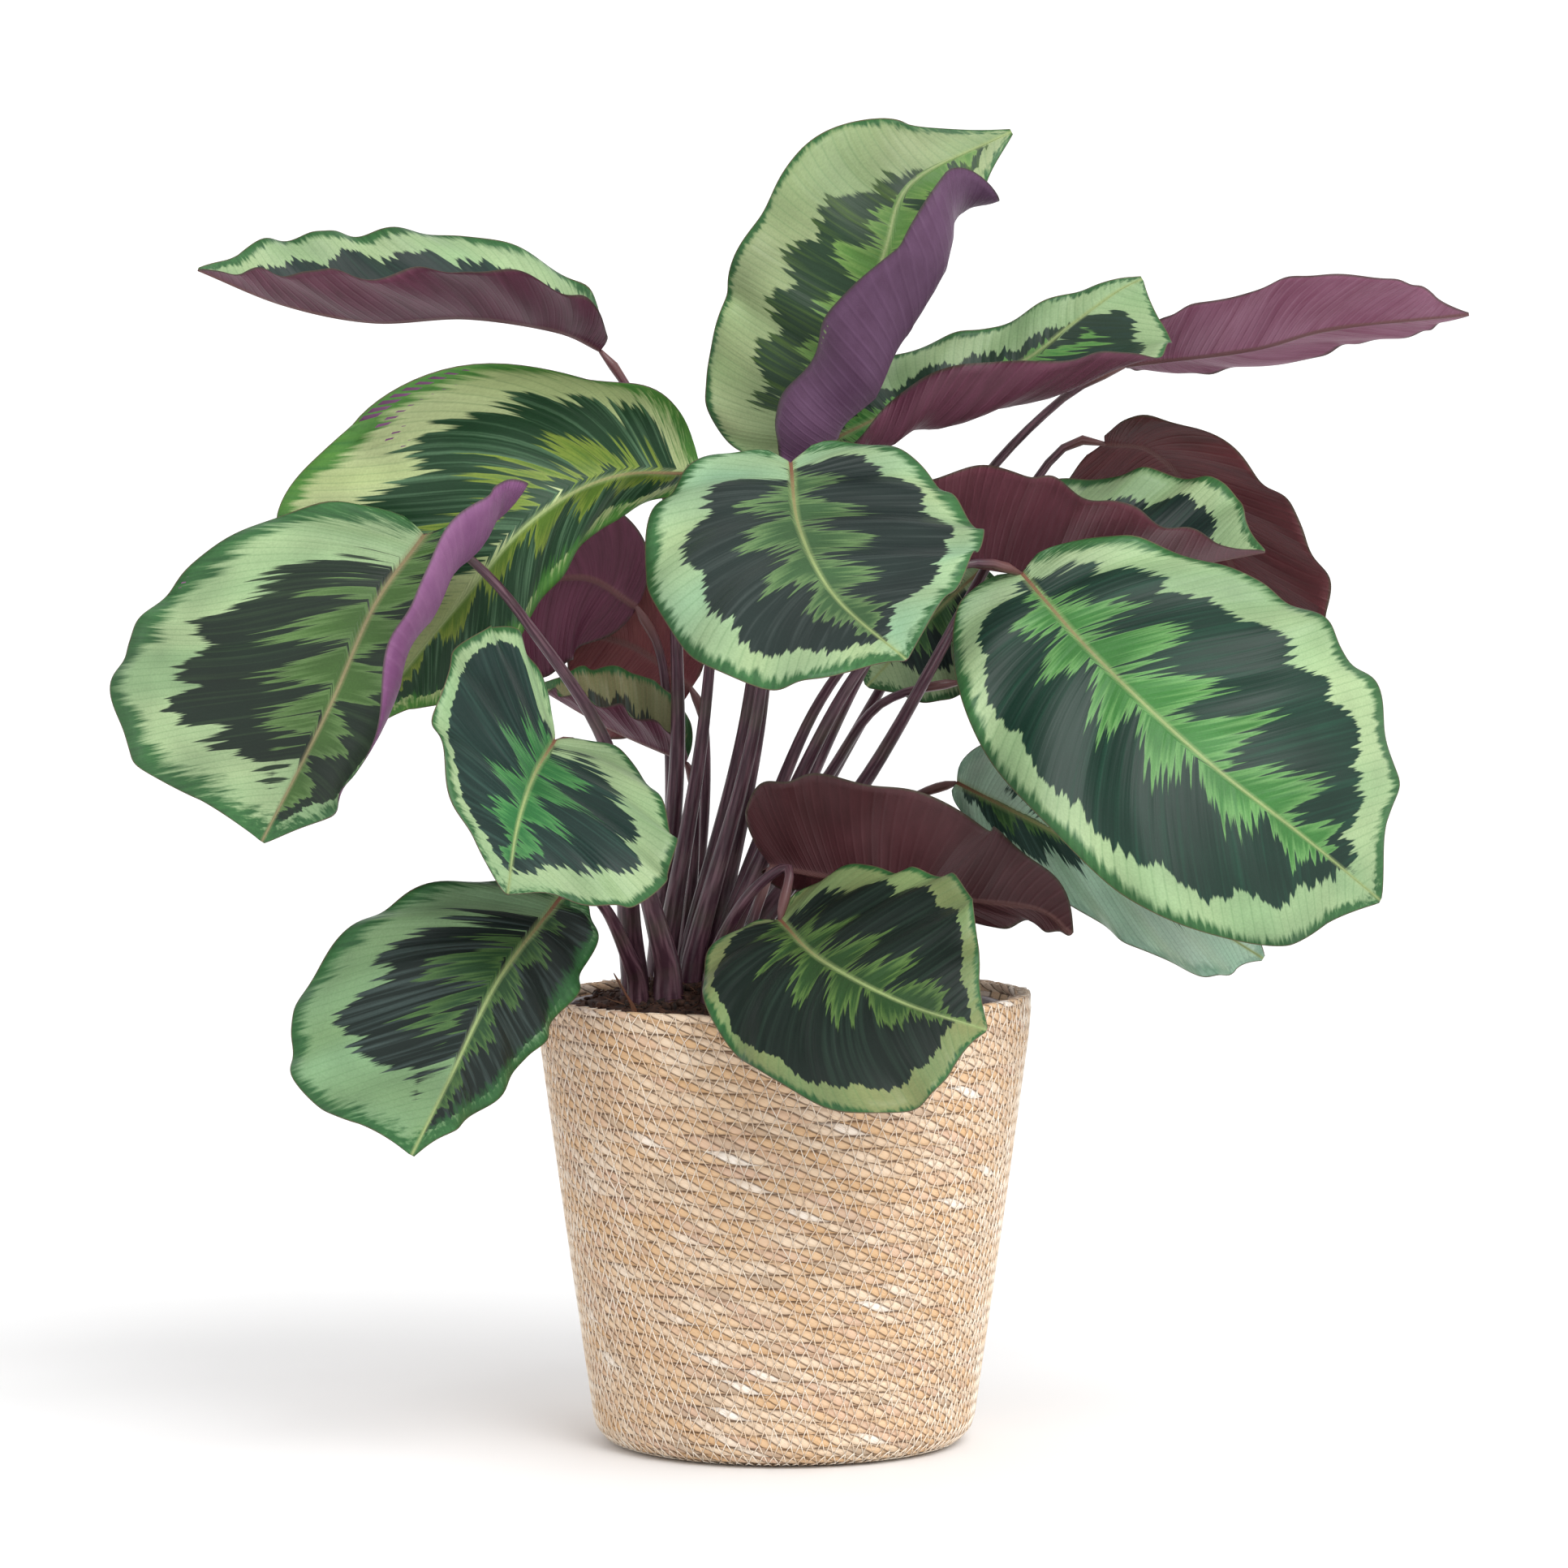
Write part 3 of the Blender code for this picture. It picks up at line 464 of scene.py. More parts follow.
def blade_surface(spec):
    """The middle surface of a blade, as a grid from stalk to tip and from its left margin to its right one.

    With it come the way its upper face looks, the grid's two parameters m and t, and the flat leaf's
    x and y. Each row is a vein: it leaves the midrib near the stalk and reaches the margin further on.
    The flat outline is a stretched circle, with a lobe on each side of the stalk and a drawn-out tip. Each
    half is then folded at the midrib, curled along an arc, waved at its margin and puffed between its
    veins. Pleats between the vein groups and a flutter along the margin are added to the solid's form.
    """
    curve, length, tangent, side, normal = rib_frame(spec)
    place = np.linspace(0, 1, RIB_POINTS)
    half_width = spec["width"] / 2
    left, right = spec["left"], spec["right"]
    m = FIRST_VEIN + (1 - FIRST_VEIN) * np.linspace(0, 1, ROWS + 1)[:, None] ** VEIN_SPACING
    t = np.linspace(-1, 1, 2 * COLUMNS + 1)[None, :]
    t = np.sign(t) * np.abs(t) ** COLUMN_EASE
    out = np.abs(t)
    round_ = np.pi * m
    belly = np.sin(round_)
    edge_x = half_width * np.where(t < 0, left.wide, right.wide) * belly**EDGE_FULLNESS + TIP_HALF_WIDTH
    edge_x = edge_x * (1 + EDGE_RIPPLE * np.sin(EDGE_RIPPLES * round_ + spec["phase"] + 2.0 * (t > 0)))
    lobe = 1.6 * spec["lobe"] * np.sqrt(np.abs(belly)) * ((1 + np.cos(round_)) / 2) ** 2
    push = np.where(t < 0, left.push, right.push)
    edge_y = length * ((1 - np.cos(round_)) / 2 + push * belly - lobe)
    end = np.clip((m - 0.9) / 0.1, 0, 1)
    edge_y = edge_y - length * spec["point"] * (1 - end**2) * np.clip((m - 0.5) / 0.4, 0, 1)
    x = edge_x * out
    y = length * m**VEIN_SWEEP * (1 - out) + edge_y * out - VEIN_BOW * length * out * (1 - out) * belly
    share = np.clip(y / length, 0, 1)

    across, above, slope = np.zeros((3, *x.shape))
    for sign, half in ((-1, left), (1, right)):
        fold = np.radians(even(half.fold, share))
        curl = np.radians(even(half.curl, share))
        curl = np.where(np.abs(curl) < 0.001, 0.001, curl)
        angle = fold + curl * x / half_width
        here = (t < 0) == (sign < 0)
        across = np.where(here, sign * half_width / curl * (np.sin(angle) - np.sin(fold)), across)
        above = np.where(here, half_width / curl * (np.cos(fold) - np.cos(angle)), above)
        slope = np.where(here, sign * angle, slope)
    slope[:, COLUMNS] = (slope[:, COLUMNS - 1] + slope[:, COLUMNS + 1]) / 2
    phase = 2 * np.pi * spec["waves"] * m + spec["phase"] + 1.3 * (t > 0)
    fade = belly**0.5
    lift = spec["ruffle"] * out**3 * np.sin(phase) * fade
    lift = lift + spec["quilt"] * np.sin(np.pi * out) * np.cos(phase) * belly
    group = spec["groups"] * m + GROUP_SHIFT * (t > 0)
    pleat = np.sqrt(np.abs(np.sin(np.pi * group))) - 0.75
    lift = lift + spec["pleat"] * pleat * np.sin(np.pi * out**0.7) * fade
    flutter = np.sin(FLUTTERS * group + 1.7 * np.sin(3.1 * group + spec["phase"]))
    lift = lift + spec["flutter"] * out**6 * flutter * fade
    across = across - np.sin(slope) * lift
    above = above + np.cos(slope) * lift

    past = np.minimum(y, 0) + np.maximum(y - length, 0)
    spine = along(curve, place, share) + along(tangent, place, share) * past[..., None]
    sideways = unit(along(side, place, share))
    upwards = unit(along(normal, place, share))
    facing = upwards * np.cos(slope)[..., None] - sideways * np.sin(slope)[..., None]
    middle = spine + sideways * across[..., None] + upwards * above[..., None]
    return middle, facing, m, t, group, np.sign(t) * x, y


def grid_quads(rows, columns, closed):
    """The quads between the points of a grid, whose last column may join its first."""
    i, j = np.meshgrid(np.arange(rows - 1), np.arange(columns - (not closed)), indexing="ij")
    a, b = (i * columns + j).ravel(), (i * columns + (j + 1) % columns).ravel()
    return np.stack([a, b, b + columns, a + columns], -1)


def blade_shell(spec, thickness):
    """A closed shell for one blade: upper skin, lower skin with the midrib's ridge, and the rim between.

    It gives the points, the quads, the count of quads in the upper skin, and two vectors at each point for
    the colouring: place holds t, the vein group and the inset from the margin as a share of the pale band,
    and flat holds the flat leaf's x, y and inset in millimetres.
    """
    middle, facing, m, t, group, x, y = blade_surface(spec)
    narrow = np.clip(1 - 0.85 * m, 0.1, 1)
    ridge = np.exp(-((x / (1.6 * narrow + 0.3)) ** 2)) * narrow
    groove = 0.3 * np.exp(-((x / 0.9) ** 2)) * narrow
    half_web = 0.5 * thickness * (1 - 0.5 * np.abs(t) ** 4)
    top = middle + facing * (half_web - groove)[..., None]
    bottom = middle - facing * (half_web + MIDRIB * 0.8 * ridge)[..., None]
    count = x.size
    skin = grid_quads(*x.shape, closed=False)
    index = np.arange(count).reshape(x.shape)
    ring = np.concatenate([index[0], index[1:, -1], index[-1, -2::-1], index[-2:0:-1, 0]])
    after = np.roll(ring, -1)
    wall = np.stack([ring, ring + count, after + count, after], -1)
    quads = np.vstack([skin, skin[:, ::-1] + count, wall])

    margin = np.vstack([joined(x[:, 0], y[:, 0]), joined(x[:, -1], y[:, -1])])
    apart = joined(x, y).reshape(-1, 1, 2) - margin
    inset = np.linalg.norm(apart, axis=-1).min(axis=1).reshape(x.shape)
    left, right = [even(widths, m) for widths in spec["pale"]]
    place = joined(t, group, inset / np.where(t < 0, left, right))
    both = [np.vstack([grid.reshape(-1, 3)] * 2) for grid in (place, joined(x, y, inset))]
    return np.vstack([top.reshape(-1, 3), bottom.reshape(-1, 3)]), quads, len(skin), *both


def frame_along(points):
    """At each point of a line, the way along it and two ways across it that don't twist."""
    tangent = unit(np.gradient(points, axis=0))
    first = unit(np.cross(tangent, np.array([0.0, -1.0, 0.1])))
    return tangent, first, np.cross(tangent, first)


def rings_along(points, radii, sides):
    """Rings of points round a line, as a grid from one end to the other."""
    _, first, second = frame_along(points)
    angle = turns(sides)[..., None]
    return points[:, None] + radii[:, None, None] * rolled(first[:, None], second[:, None], angle)[0]


def closed_rings(rings, start, end):
    """Points, quads and end triangles of a skin over rings of points, closed by a fan at either end."""
    count, sides = rings.shape[:2]
    points = np.vstack([rings.reshape(-1, 3), start, end])
    around = np.arange(sides)
    following = (around + 1) % sides
    last = (count - 1) * sides
    pole = count * sides
    fans = np.vstack([joined(pole, following, around), joined(pole + 1, last + around, last + following)])
    return points, grid_quads(count, sides, closed=True), fans


def stalk_shape(spec):
    """The stalk's skin, and at each point the vector that its streaks follow and its share of the length.

    The stalk swells a little at the knee, just before the blade, and its foot is broad where it clasps
    the stalks inside it.
    """
    (x, y), *others = spec["stalk"]
    points = [(x, y, ROOT_Z), (x, y, SOIL_EDGE_Z + SOIL_MOUND)] + others + [spec["rib"][0]]
    line, length = smooth_curve(points, STALK_RINGS)
    share = np.linspace(0, 1, STALK_RINGS)
    line[-1] -= rib_frame(spec)[4][0] * SEAT_DEPTH
    radii = spec["root_radius"] + (STALK_TOP - spec["root_radius"]) * share**0.7
    from_blade = (1 - share) * length
    knee = np.exp(-(((from_blade - KNEE_FROM_BLADE) / KNEE_LENGTH) ** 2))
    foot = FOOT_SWELL * np.exp(-((share / FOOT_LENGTH) ** 2))
    radii = radii * (1 + KNEE_SWELL * knee + foot) * np.clip(0.55 + from_blade / 12, 0, 1)
    rings = rings_along(line, radii, STALK_SIDES)
    angle = turns(STALK_SIDES)
    furrow = 1 - FURROW * np.exp(-(((angle - np.pi / 2) / 0.6) ** 2))
    rings = line[:, None] + (rings - line[:, None]) * furrow[..., None]
    tip = line[-1] + frame_along(line)[0][-1] * radii[-1]
    vectors = []
    share, from_blade = share[:, None], from_blade[:, None]
    for grid in (polar(1, angle, share * length), joined(share, from_blade, 0 * angle)):
        rows = grid.reshape(-1, 3)
        vectors.append(np.vstack([rows, rows[:1], rows[-1:]]))
    return closed_rings(rings, line[0], tip), vectors


def placed(name, data):
    """A new object of the scene that shows the data."""
    made = bpy.data.objects.new(name, data)
    bpy.context.scene.collection.objects.link(made)
    return made


def new_piece(name, node, slot, materials, points, quads, fans=(), vectors=()):
    """A piece that stands for a CAD node and rides on the root body, with the materials given as its
    finish.

    Its points are in millimetres, its faces four-cornered and three-cornered, and vectors holds a name
    and a vector for each point, for its material to read. slot is not used.
    """
    mesh = bpy.data.meshes.new(name)
    mesh.from_pydata(points * MM, [], [*quads.tolist(), *np.array(fans).tolist()])
    mesh.validate()
    piece = placed(name, mesh)
    for material in materials:
        mesh.materials.append(material)
    mesh.shade_smooth()
    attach(piece, "root")
    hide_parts(node)
    for key, values in vectors:
        kept = mesh.attributes.new(key, "FLOAT_VECTOR", "POINT")
        kept.data.foreach_set("vector", values.astype(np.float32).ravel())
    return piece


def linear(hex_colour):
    """An sRGB hex colour as linear red, green and blue."""
    parts = [int(hex_colour[at : at + 2], 16) / 255 for at in (1, 3, 5)]
    return tuple(part / 12.92 if part <= 0.04045 else ((part + 0.055) / 1.055) ** 2.4 for part in parts)


def leaf_tones(spec, tones, settings):
    """A leaf's colours as they look in the light, brought down to the colours of its skin."""
    chosen = {key: linear(spec["look"].get(key, tone)) for key, tone in tones.items()}
    return {key: [settings.leaf_shade * part for part in tone] for key, tone in chosen.items()}


def feed(node, inputs):
    """Puts a link, a value or a colour's red, green and blue into each input of a node."""
    for key, value in inputs.items():
        socket = node.inputs[key]
        if isinstance(value, bpy.types.NodeSocket):
            node.id_data.links.new(value, socket)
        else:
            socket.default_value = (*value, 1) if socket.type == "RGBA" else value


def add_node(tree, kind, inputs=(), out=0, **settings):
    """Adds a node with its settings, feeds its inputs by name or from the first on, gives one output."""
    node = tree.nodes.new("ShaderNode" + kind)
    for key, value in settings.items():
        setattr(node, key, value)
    feed(node, inputs if isinstance(inputs, dict) else dict(enumerate(inputs)))
    return node.outputs[out]


def new_material(name):
    """An empty material, its shader, and the function that adds a node to it."""
    material = bpy.data.materials.new(name)
    material.use_nodes = True
    return material, material.node_tree.nodes["Principled BSDF"], partial(add_node, material.node_tree)


def painted(shader, colour, layers, relief, strength, depth, roughness, ior=1.5, tones=()):
    """Ends a material, with a relief as deep as depth, in millimetres.

    Each layer is a colour laid over the last, by a value read between two ends and up to a most. The
    tones then multiply the colour.
    """
    node = partial(add_node, shader.id_data)
    for over, value, low, high, most in layers:
        share = node("MapRange", (value, low, high, 0.0, most))
        colour = node("Mix", {0: share, 6: colour, 7: over}, out=2, data_type="RGBA")
    for tone in tones:
        colour = node("Mix", {0: 1.0, 6: colour, 7: tone}, out=2, data_type="RGBA", blend_type="MULTIPLY")
    bump = node("Bump", {"Height": relief, "Strength": strength, "Distance": depth * MM})
    feed(shader, {"Base Color": colour, "Normal": bump, "Roughness": roughness, "IOR": ior})


def leaf_upper_material(spec, settings):
    """Living leaf skin: satin, with the medallion's bands painted along the veins.

    From the margin inwards come a green edge that frays inwards, a pale band ruled by faint veins, a dark
    band with a scalloped and toothed outline and streaks of painted sheen, and a green centre that runs
    out in combed teeth.
    """
    material, shader, node = new_material("leaf_upper_" + spec["name"])
    look = leaf_tones(spec, UPPER_LOOK, settings)
    seed, margin, groups = 3.0 * spec["phase"], spec["margin"], float(spec["groups"])
    place = node("Attribute", out="Vector", attribute_name="vein_place")
    across, group, inset = node("SeparateXYZ", (place,)).node.outputs
    flat = node("Attribute", out="Vector", attribute_name="leaf_flat")
    from_rib, _, edge = node("SeparateXYZ", (flat,)).node.outputs
    noises = []
    for stretch, detail in LEAF_NOISES.values():
        at = node("VectorMath", (place, stretch, (seed, 0.0, seed + 7.0)), operation="MULTIPLY_ADD")
        noise = node("TexNoise", {"Vector": at, "Scale": 1.0, "Detail": detail})
        noises.append(node("Math", (noise, 0.5), operation="SUBTRACT"))
    lump, teeth, comb, fuzz, sheen = noises

    shifted = node("Math", (lump, LUMP_SHIFT, group), operation="MULTIPLY_ADD")
    from_notch = node("Math", (shifted, 0.5), operation="PINGPONG")
    scallop = node("Math", (from_notch, 0.4), operation="POWER")
    band = inset
    for share, reach in ((teeth, TEETH), (scallop, NOTCH), (lump, LUMPS)):
        band = node("Math", (share, reach, band), operation="MULTIPLY_ADD")
    dark_level = PALE_INWARDS + 0.6 * NOTCH

    wave = node("MapRange", (from_notch, 0.1, 0.42, 1.0, 0.0))
    wave = node("Math", (wave, CENTRE_REACH, CENTRE_BASE), operation="MULTIPLY_ADD")
    reach = node("Math", (comb, COMB, wave), operation="MULTIPLY_ADD")
    out = node("Math", (across,), operation="ABSOLUTE")
    reach = node("Math", (reach, out), operation="SUBTRACT")
    room = node("Math", (band, dark_level + CENTRE_KEEPS_OFF), operation="SUBTRACT")
    reach = node("Math", (reach, room), operation="MINIMUM")

    fray = node("Math", (fuzz, 2.6 * margin), operation="MULTIPLY")
    fray = node("Math", (lump, 2.2 * margin, fray), operation="MULTIPLY_ADD")
    fray = node("Math", (fray, edge), operation="SUBTRACT")
    lines = node("Math", (group, VEINS_IN_GROUP), operation="MULTIPLY")
    ridge = node("Math", (lines, 0.5), operation="PINGPONG")
    rib_width = node("MapRange", (group, 0.0, groups, 0.95, 0.4))
    aside = node("Math", (from_rib,), operation="ABSOLUTE")
    aside = node("Math", (aside, rib_width), operation="DIVIDE")

    mixed = []
    for under, over, value, low, high, most in (
        ("pale", "pale_deep", lump, -0.2, 0.2, 1.0),
        # Painted sheen: the dark band is lightened in streaks towards dark_sheen, a painted highlight.
        ("dark", "dark_sheen", sheen, 0.0, 0.2, 1.0),
        ("centre", "centre_light", reach, 0.2, 0.0, 0.9),
        ("margin", "margin_deep", fuzz, -0.2, 0.2, 1.0),
        ("rib_foot", "rib_tip", group, 1.0, 0.6 * groups, 1.0),
    ):
        share = node("MapRange", (value, low, high, 0.0, most))
        mixed.append(node("Mix", {0: share, 6: look[under], 7: look[over]}, out=2, data_type="RGBA"))
    colour, dark, centre, green, rib = mixed
    layers = (
        (look["vein"], ridge, 0.13, 0.02, 0.24),
        (dark, band, dark_level - 0.03, dark_level + 0.03, 1.0),
        (centre, reach, -0.02, 0.03, 1.0),
        (green, fray, -1.25 * margin, -0.55 * margin, 0.95),
        (look["rib_tip"], aside, 3.6, 1.2, 0.5),
        (rib, aside, 1.2, 0.8, 1.0),
        (look["rim"], edge, 0.6, 0.25, 0.8),
    )
    tones = []
    for scale, low, high in ((0.018, 0.8, 1.14), (0.9, 0.93, 1.05)):
        tone = node("TexNoise", {"Vector": flat, "Scale": scale, "Detail": 2.0})
        tones.append(node("MapRange", (tone, 0.35, 0.65, low, high)))
    relief = node("Math", (ridge, 0.65, sheen), operation="MULTIPLY_ADD")
    rough = node("MapRange", (sheen, -0.2, 0.2, 0.4, 0.5))
    painted(shader, colour, layers, relief, 0.6, 0.45, rough, 1.36, tones)
    return material


def leaf_under_material(spec, settings):
    """The underside of the leaf: wine purple and nearly matt, with raised veins a little lighter."""
    material, shader, node = new_material("leaf_under_" + spec["name"])
    look = leaf_tones(spec, UNDER_LOOK, settings)
    place = node("Attribute", out="Vector", attribute_name="vein_place")
    _, group, _ = node("SeparateXYZ", (place,)).node.outputs
    flat = node("Attribute", out="Vector", attribute_name="leaf_flat")
    from_rib, _, edge = node("SeparateXYZ", (flat,)).node.outputs
    shift = (3.0 * spec["phase"], 0.0, 0.0)
    at = node("VectorMath", (place, (2.0, 9.0, 1.0), shift), operation="MULTIPLY_ADD")
    streak = node("TexNoise", {"Vector": at, "Scale": 1.0, "Detail": 4.0})
    grain = node("TexNoise", {"Vector": flat, "Scale": 1.8, "Detail": 2.0})
    patch = node("TexNoise", {"Vector": flat, "Scale": 0.02, "Detail": 1.0})
    lines = node("Math", (group, VEINS_IN_GROUP), operation="MULTIPLY")
    lines = node("Math", (lines, 0.5), operation="PINGPONG")
    lines = node("MapRange", (lines, 0.2, 0.02, 0.0, 0.4))
    pleats = node("Math", (group, 0.5), operation="PINGPONG")
    aside = node("Math", (from_rib,), operation="ABSOLUTE")
    blend = node("Math", (streak, patch), operation="ADD")
    layers = (
        (look["wine_light"], blend, 0.7, 1.3, 1.0),
        (look["wine_light"], lines, 0.0, 1.0, 1.0),
        (look["wine"], pleats, 0.12, 0.0, 0.55),
        (look["wine_rib"], aside, 2.2, 1.0, 0.8),
        (look["wine_rim"], edge, 1.6, 0.3, 0.7),
    )
    relief = node("Math", (lines, 2.5, grain), operation="MULTIPLY_ADD")
    painted(shader, look["wine"], layers, relief, 0.6, 0.3, 0.52, 1.4)
    return material


def stalk_material(settings):
    """Leaf stalk: smooth juicy skin, dark plum with faint long streaks, pinker at the knee by the blade."""
    material, shader, node = new_material("leaf_stalk_skin")
    grain = node("Attribute", out="Vector", attribute_name="stalk_grain")
    place = node("Attribute", out="Vector", attribute_name="stalk_place")
    share, from_blade, _ = node("SeparateXYZ", (place,)).node.outputs
    at = node("VectorMath", (grain, (1.6, 1.6, 0.03)), operation="MULTIPLY")
    streak = node("TexNoise", {"Vector": at, "Scale": 1.5, "Detail": 3.0})
    patch = node("TexNoise", {"Vector": grain, "Scale": 0.05, "Detail": 1.0})
    speck = node("TexNoise", {"Vector": grain, "Scale": 1.1, "Detail": 2.0})
    layers = (
        (settings.stalk_streak, streak, 0.45, 0.75, 1.0),
        (settings.stalk_green, patch, 0.5, 0.75, 0.5),
        (settings.stalk_foot, share, 0.25, 0.05, 0.6),
        (settings.stalk_knee, from_blade, 26.0, 12.0, 0.75),
    )
    relief = node("Math", (streak, speck), operation="ADD")
    painted(shader, settings.stalk_plum, layers, relief, 0.35, 0.3, 0.34, 1.42)
    return material


def seagrass_material(settings):
    """Twisted seagrass rope: dry fibres, straw to grey-brown from strand to strand, with painted shade in
    the gaps.

    The UV map counts strands along each row and rows up the wall, so every strand gets its own tone.
    """
    material, shader, node = new_material("seagrass_rope")
    uv = node("UVMap", uv_map="rope")
    strand, row, _ = node("SeparateXYZ", (uv,)).node.outputs
    cell = node("VectorMath", (uv,), operation="FLOOR")
    tone = node("TexWhiteNoise", {"Vector": cell}, noise_dimensions="2D")
    ramp = node("ValToRGB", (tone,))
    stops = ramp.node.color_ramp.elements
    stops[1].position = 1.0
    stops[0].color = (*settings.seagrass_grey, 1)
    stops[1].color = (*settings.seagrass_white, 1)
    for at, shade in (
        (0.12, settings.seagrass_pink),
        (0.28, settings.seagrass_straw),
        (0.48, settings.seagrass_deep),
        (0.62, settings.seagrass_straw),
        (0.8, settings.seagrass_pale),
        (0.96, settings.seagrass_pale),
    ):
        stops.new(at).color = (*shade, 1)
    at = node("VectorMath", (uv, (16.0, 2.2, 1.0)), operation="MULTIPLY")
    fibre = node("TexNoise", {"Vector": at, "Scale": 1.0, "Detail": 3.0})
    coordinates = node("TexCoord", out="Object")
    patch = node("TexNoise", {"Vector": coordinates, "Scale": 22.0, "Detail": 2.0})
    # Painted shade: the gaps between strands and between rows are darkened towards the gap shade colour,
    # the row gaps in dashes; the same mask sets the relief.
    dashes = node("TexNoise", {"Vector": coordinates, "Scale": 170.0, "Detail": 1.0})
    dashes = node("MapRange", (dashes, 0.46, 0.58, 0.0, 0.85))
    within = node("Math", (strand, 0.5), operation="PINGPONG")
    up = node("Math", (row, 0.5), operation="PINGPONG")
    strand_gap = node("MapRange", (within, 0.14, 0.02, 0.0, 0.8))
    row_gap = node("MapRange", (up, 0.14, 0.02))
    row_gap = node("Math", (row_gap, dashes), operation="MULTIPLY")
    gap = node("Math", (strand_gap, row_gap), operation="MAXIMUM")
    layers = (
        (settings.seagrass_fibre, fibre, 0.5, 0.75, 0.55),
        (settings.seagrass_deep, patch, 0.5, 0.8, 0.5),
        (settings.seagrass_gap_shade, gap, 0.0, 1.0, 1.0),
    )
    relief = node("Math", (gap, -1.5, fibre), operation="MULTIPLY_ADD")
    painted(shader, ramp, layers, relief, 0.7, 0.5, 0.7, 1.45)
    return material


def plain_material(name, colour, other, scale, roughness, depth, stretch=(1.0, 1.0, 1.0)):
    """A finish of two tones mixed by a noise on Object coordinates, with relief from the same noise.

    Scale is in features to a metre. Its callers say what the finish is.
    """
    material, shader, node = new_material(name)
    at = node("VectorMath", (node("TexCoord", out="Object"), stretch), operation="MULTIPLY")
    noise = node("TexNoise", {"Vector": at, "Scale": scale, "Detail": 4.0})
    rough = node("MapRange", (noise, 0.3, 0.7, roughness - 0.06, roughness + 0.06))
    painted(shader, colour, [(other, noise, 0.35, 0.65, 1.0)], noise, 0.6, depth, rough)
    return material


def pot_radius(z):
    """Outer radius of the inner pot's wall."""
    return even((POT_FOOT_RADIUS, POT_LIP_RADIUS - POT_WALL), (z - BASKET_FLOOR) / POT_HEIGHT)


def basket_outline():
    """Radius and height along the basket's outside, from the underside's edge over the rim."""
    top = BASKET_HEIGHT
    rim = ((115.4, top + 1.6), (113.5, top + 2.5), (110.5, top + 1.5), (109.1, top - 2))
    return np.array([(BASKET_FOOT_RADIUS, 0), *[(r, z) for z, r in BASKET_SIDE[1:]], *rim], float)


def on_outline(at):
    """Points of the basket's outline and the ways out of it, at distances along it, with eased corners."""
    points = basket_outline()
    run = run_along(points)
    dense = np.linspace(0, run[-1], OUTLINE_POINTS)
    line = along(points, run, dense)
    slope = eased(np.gradient(line, axis=0), CORNER_EASE)
    outward = unit(joined(slope[:, 1], -slope[:, 0]))
    return along(line, dense, at), unit(along(outward, dense, at))


def rope_rows(settings):
    """The count of rope rows along the outline, and its length."""
    length = run_along(basket_outline())[-1]
    return round(length / (settings.rope_width / MM)), length


def raised_rim(rings, angle):
    """The rim stands higher on one side, and the wall below it follows."""
    rise = BASKET_RIM_RISE * (0.5 + 0.5 * np.cos(angle - BASKET_RIM_RISE_AT))
    share = (rings[..., 2] - BASKET_RIM_RISE_FROM) / (BASKET_HEIGHT - BASKET_RIM_RISE_FROM)
    rings[..., 2] += rise * np.clip(share, 0, 1)
    return rings


def wander(angle, row):
    """How far a row of rope strays along the wall, as a sum of slow waves round the basket."""
    return 0.35 * np.sin(5 * angle + 2.1 * row) + 0.25 * np.sin(11 * angle + 1.3 * row)


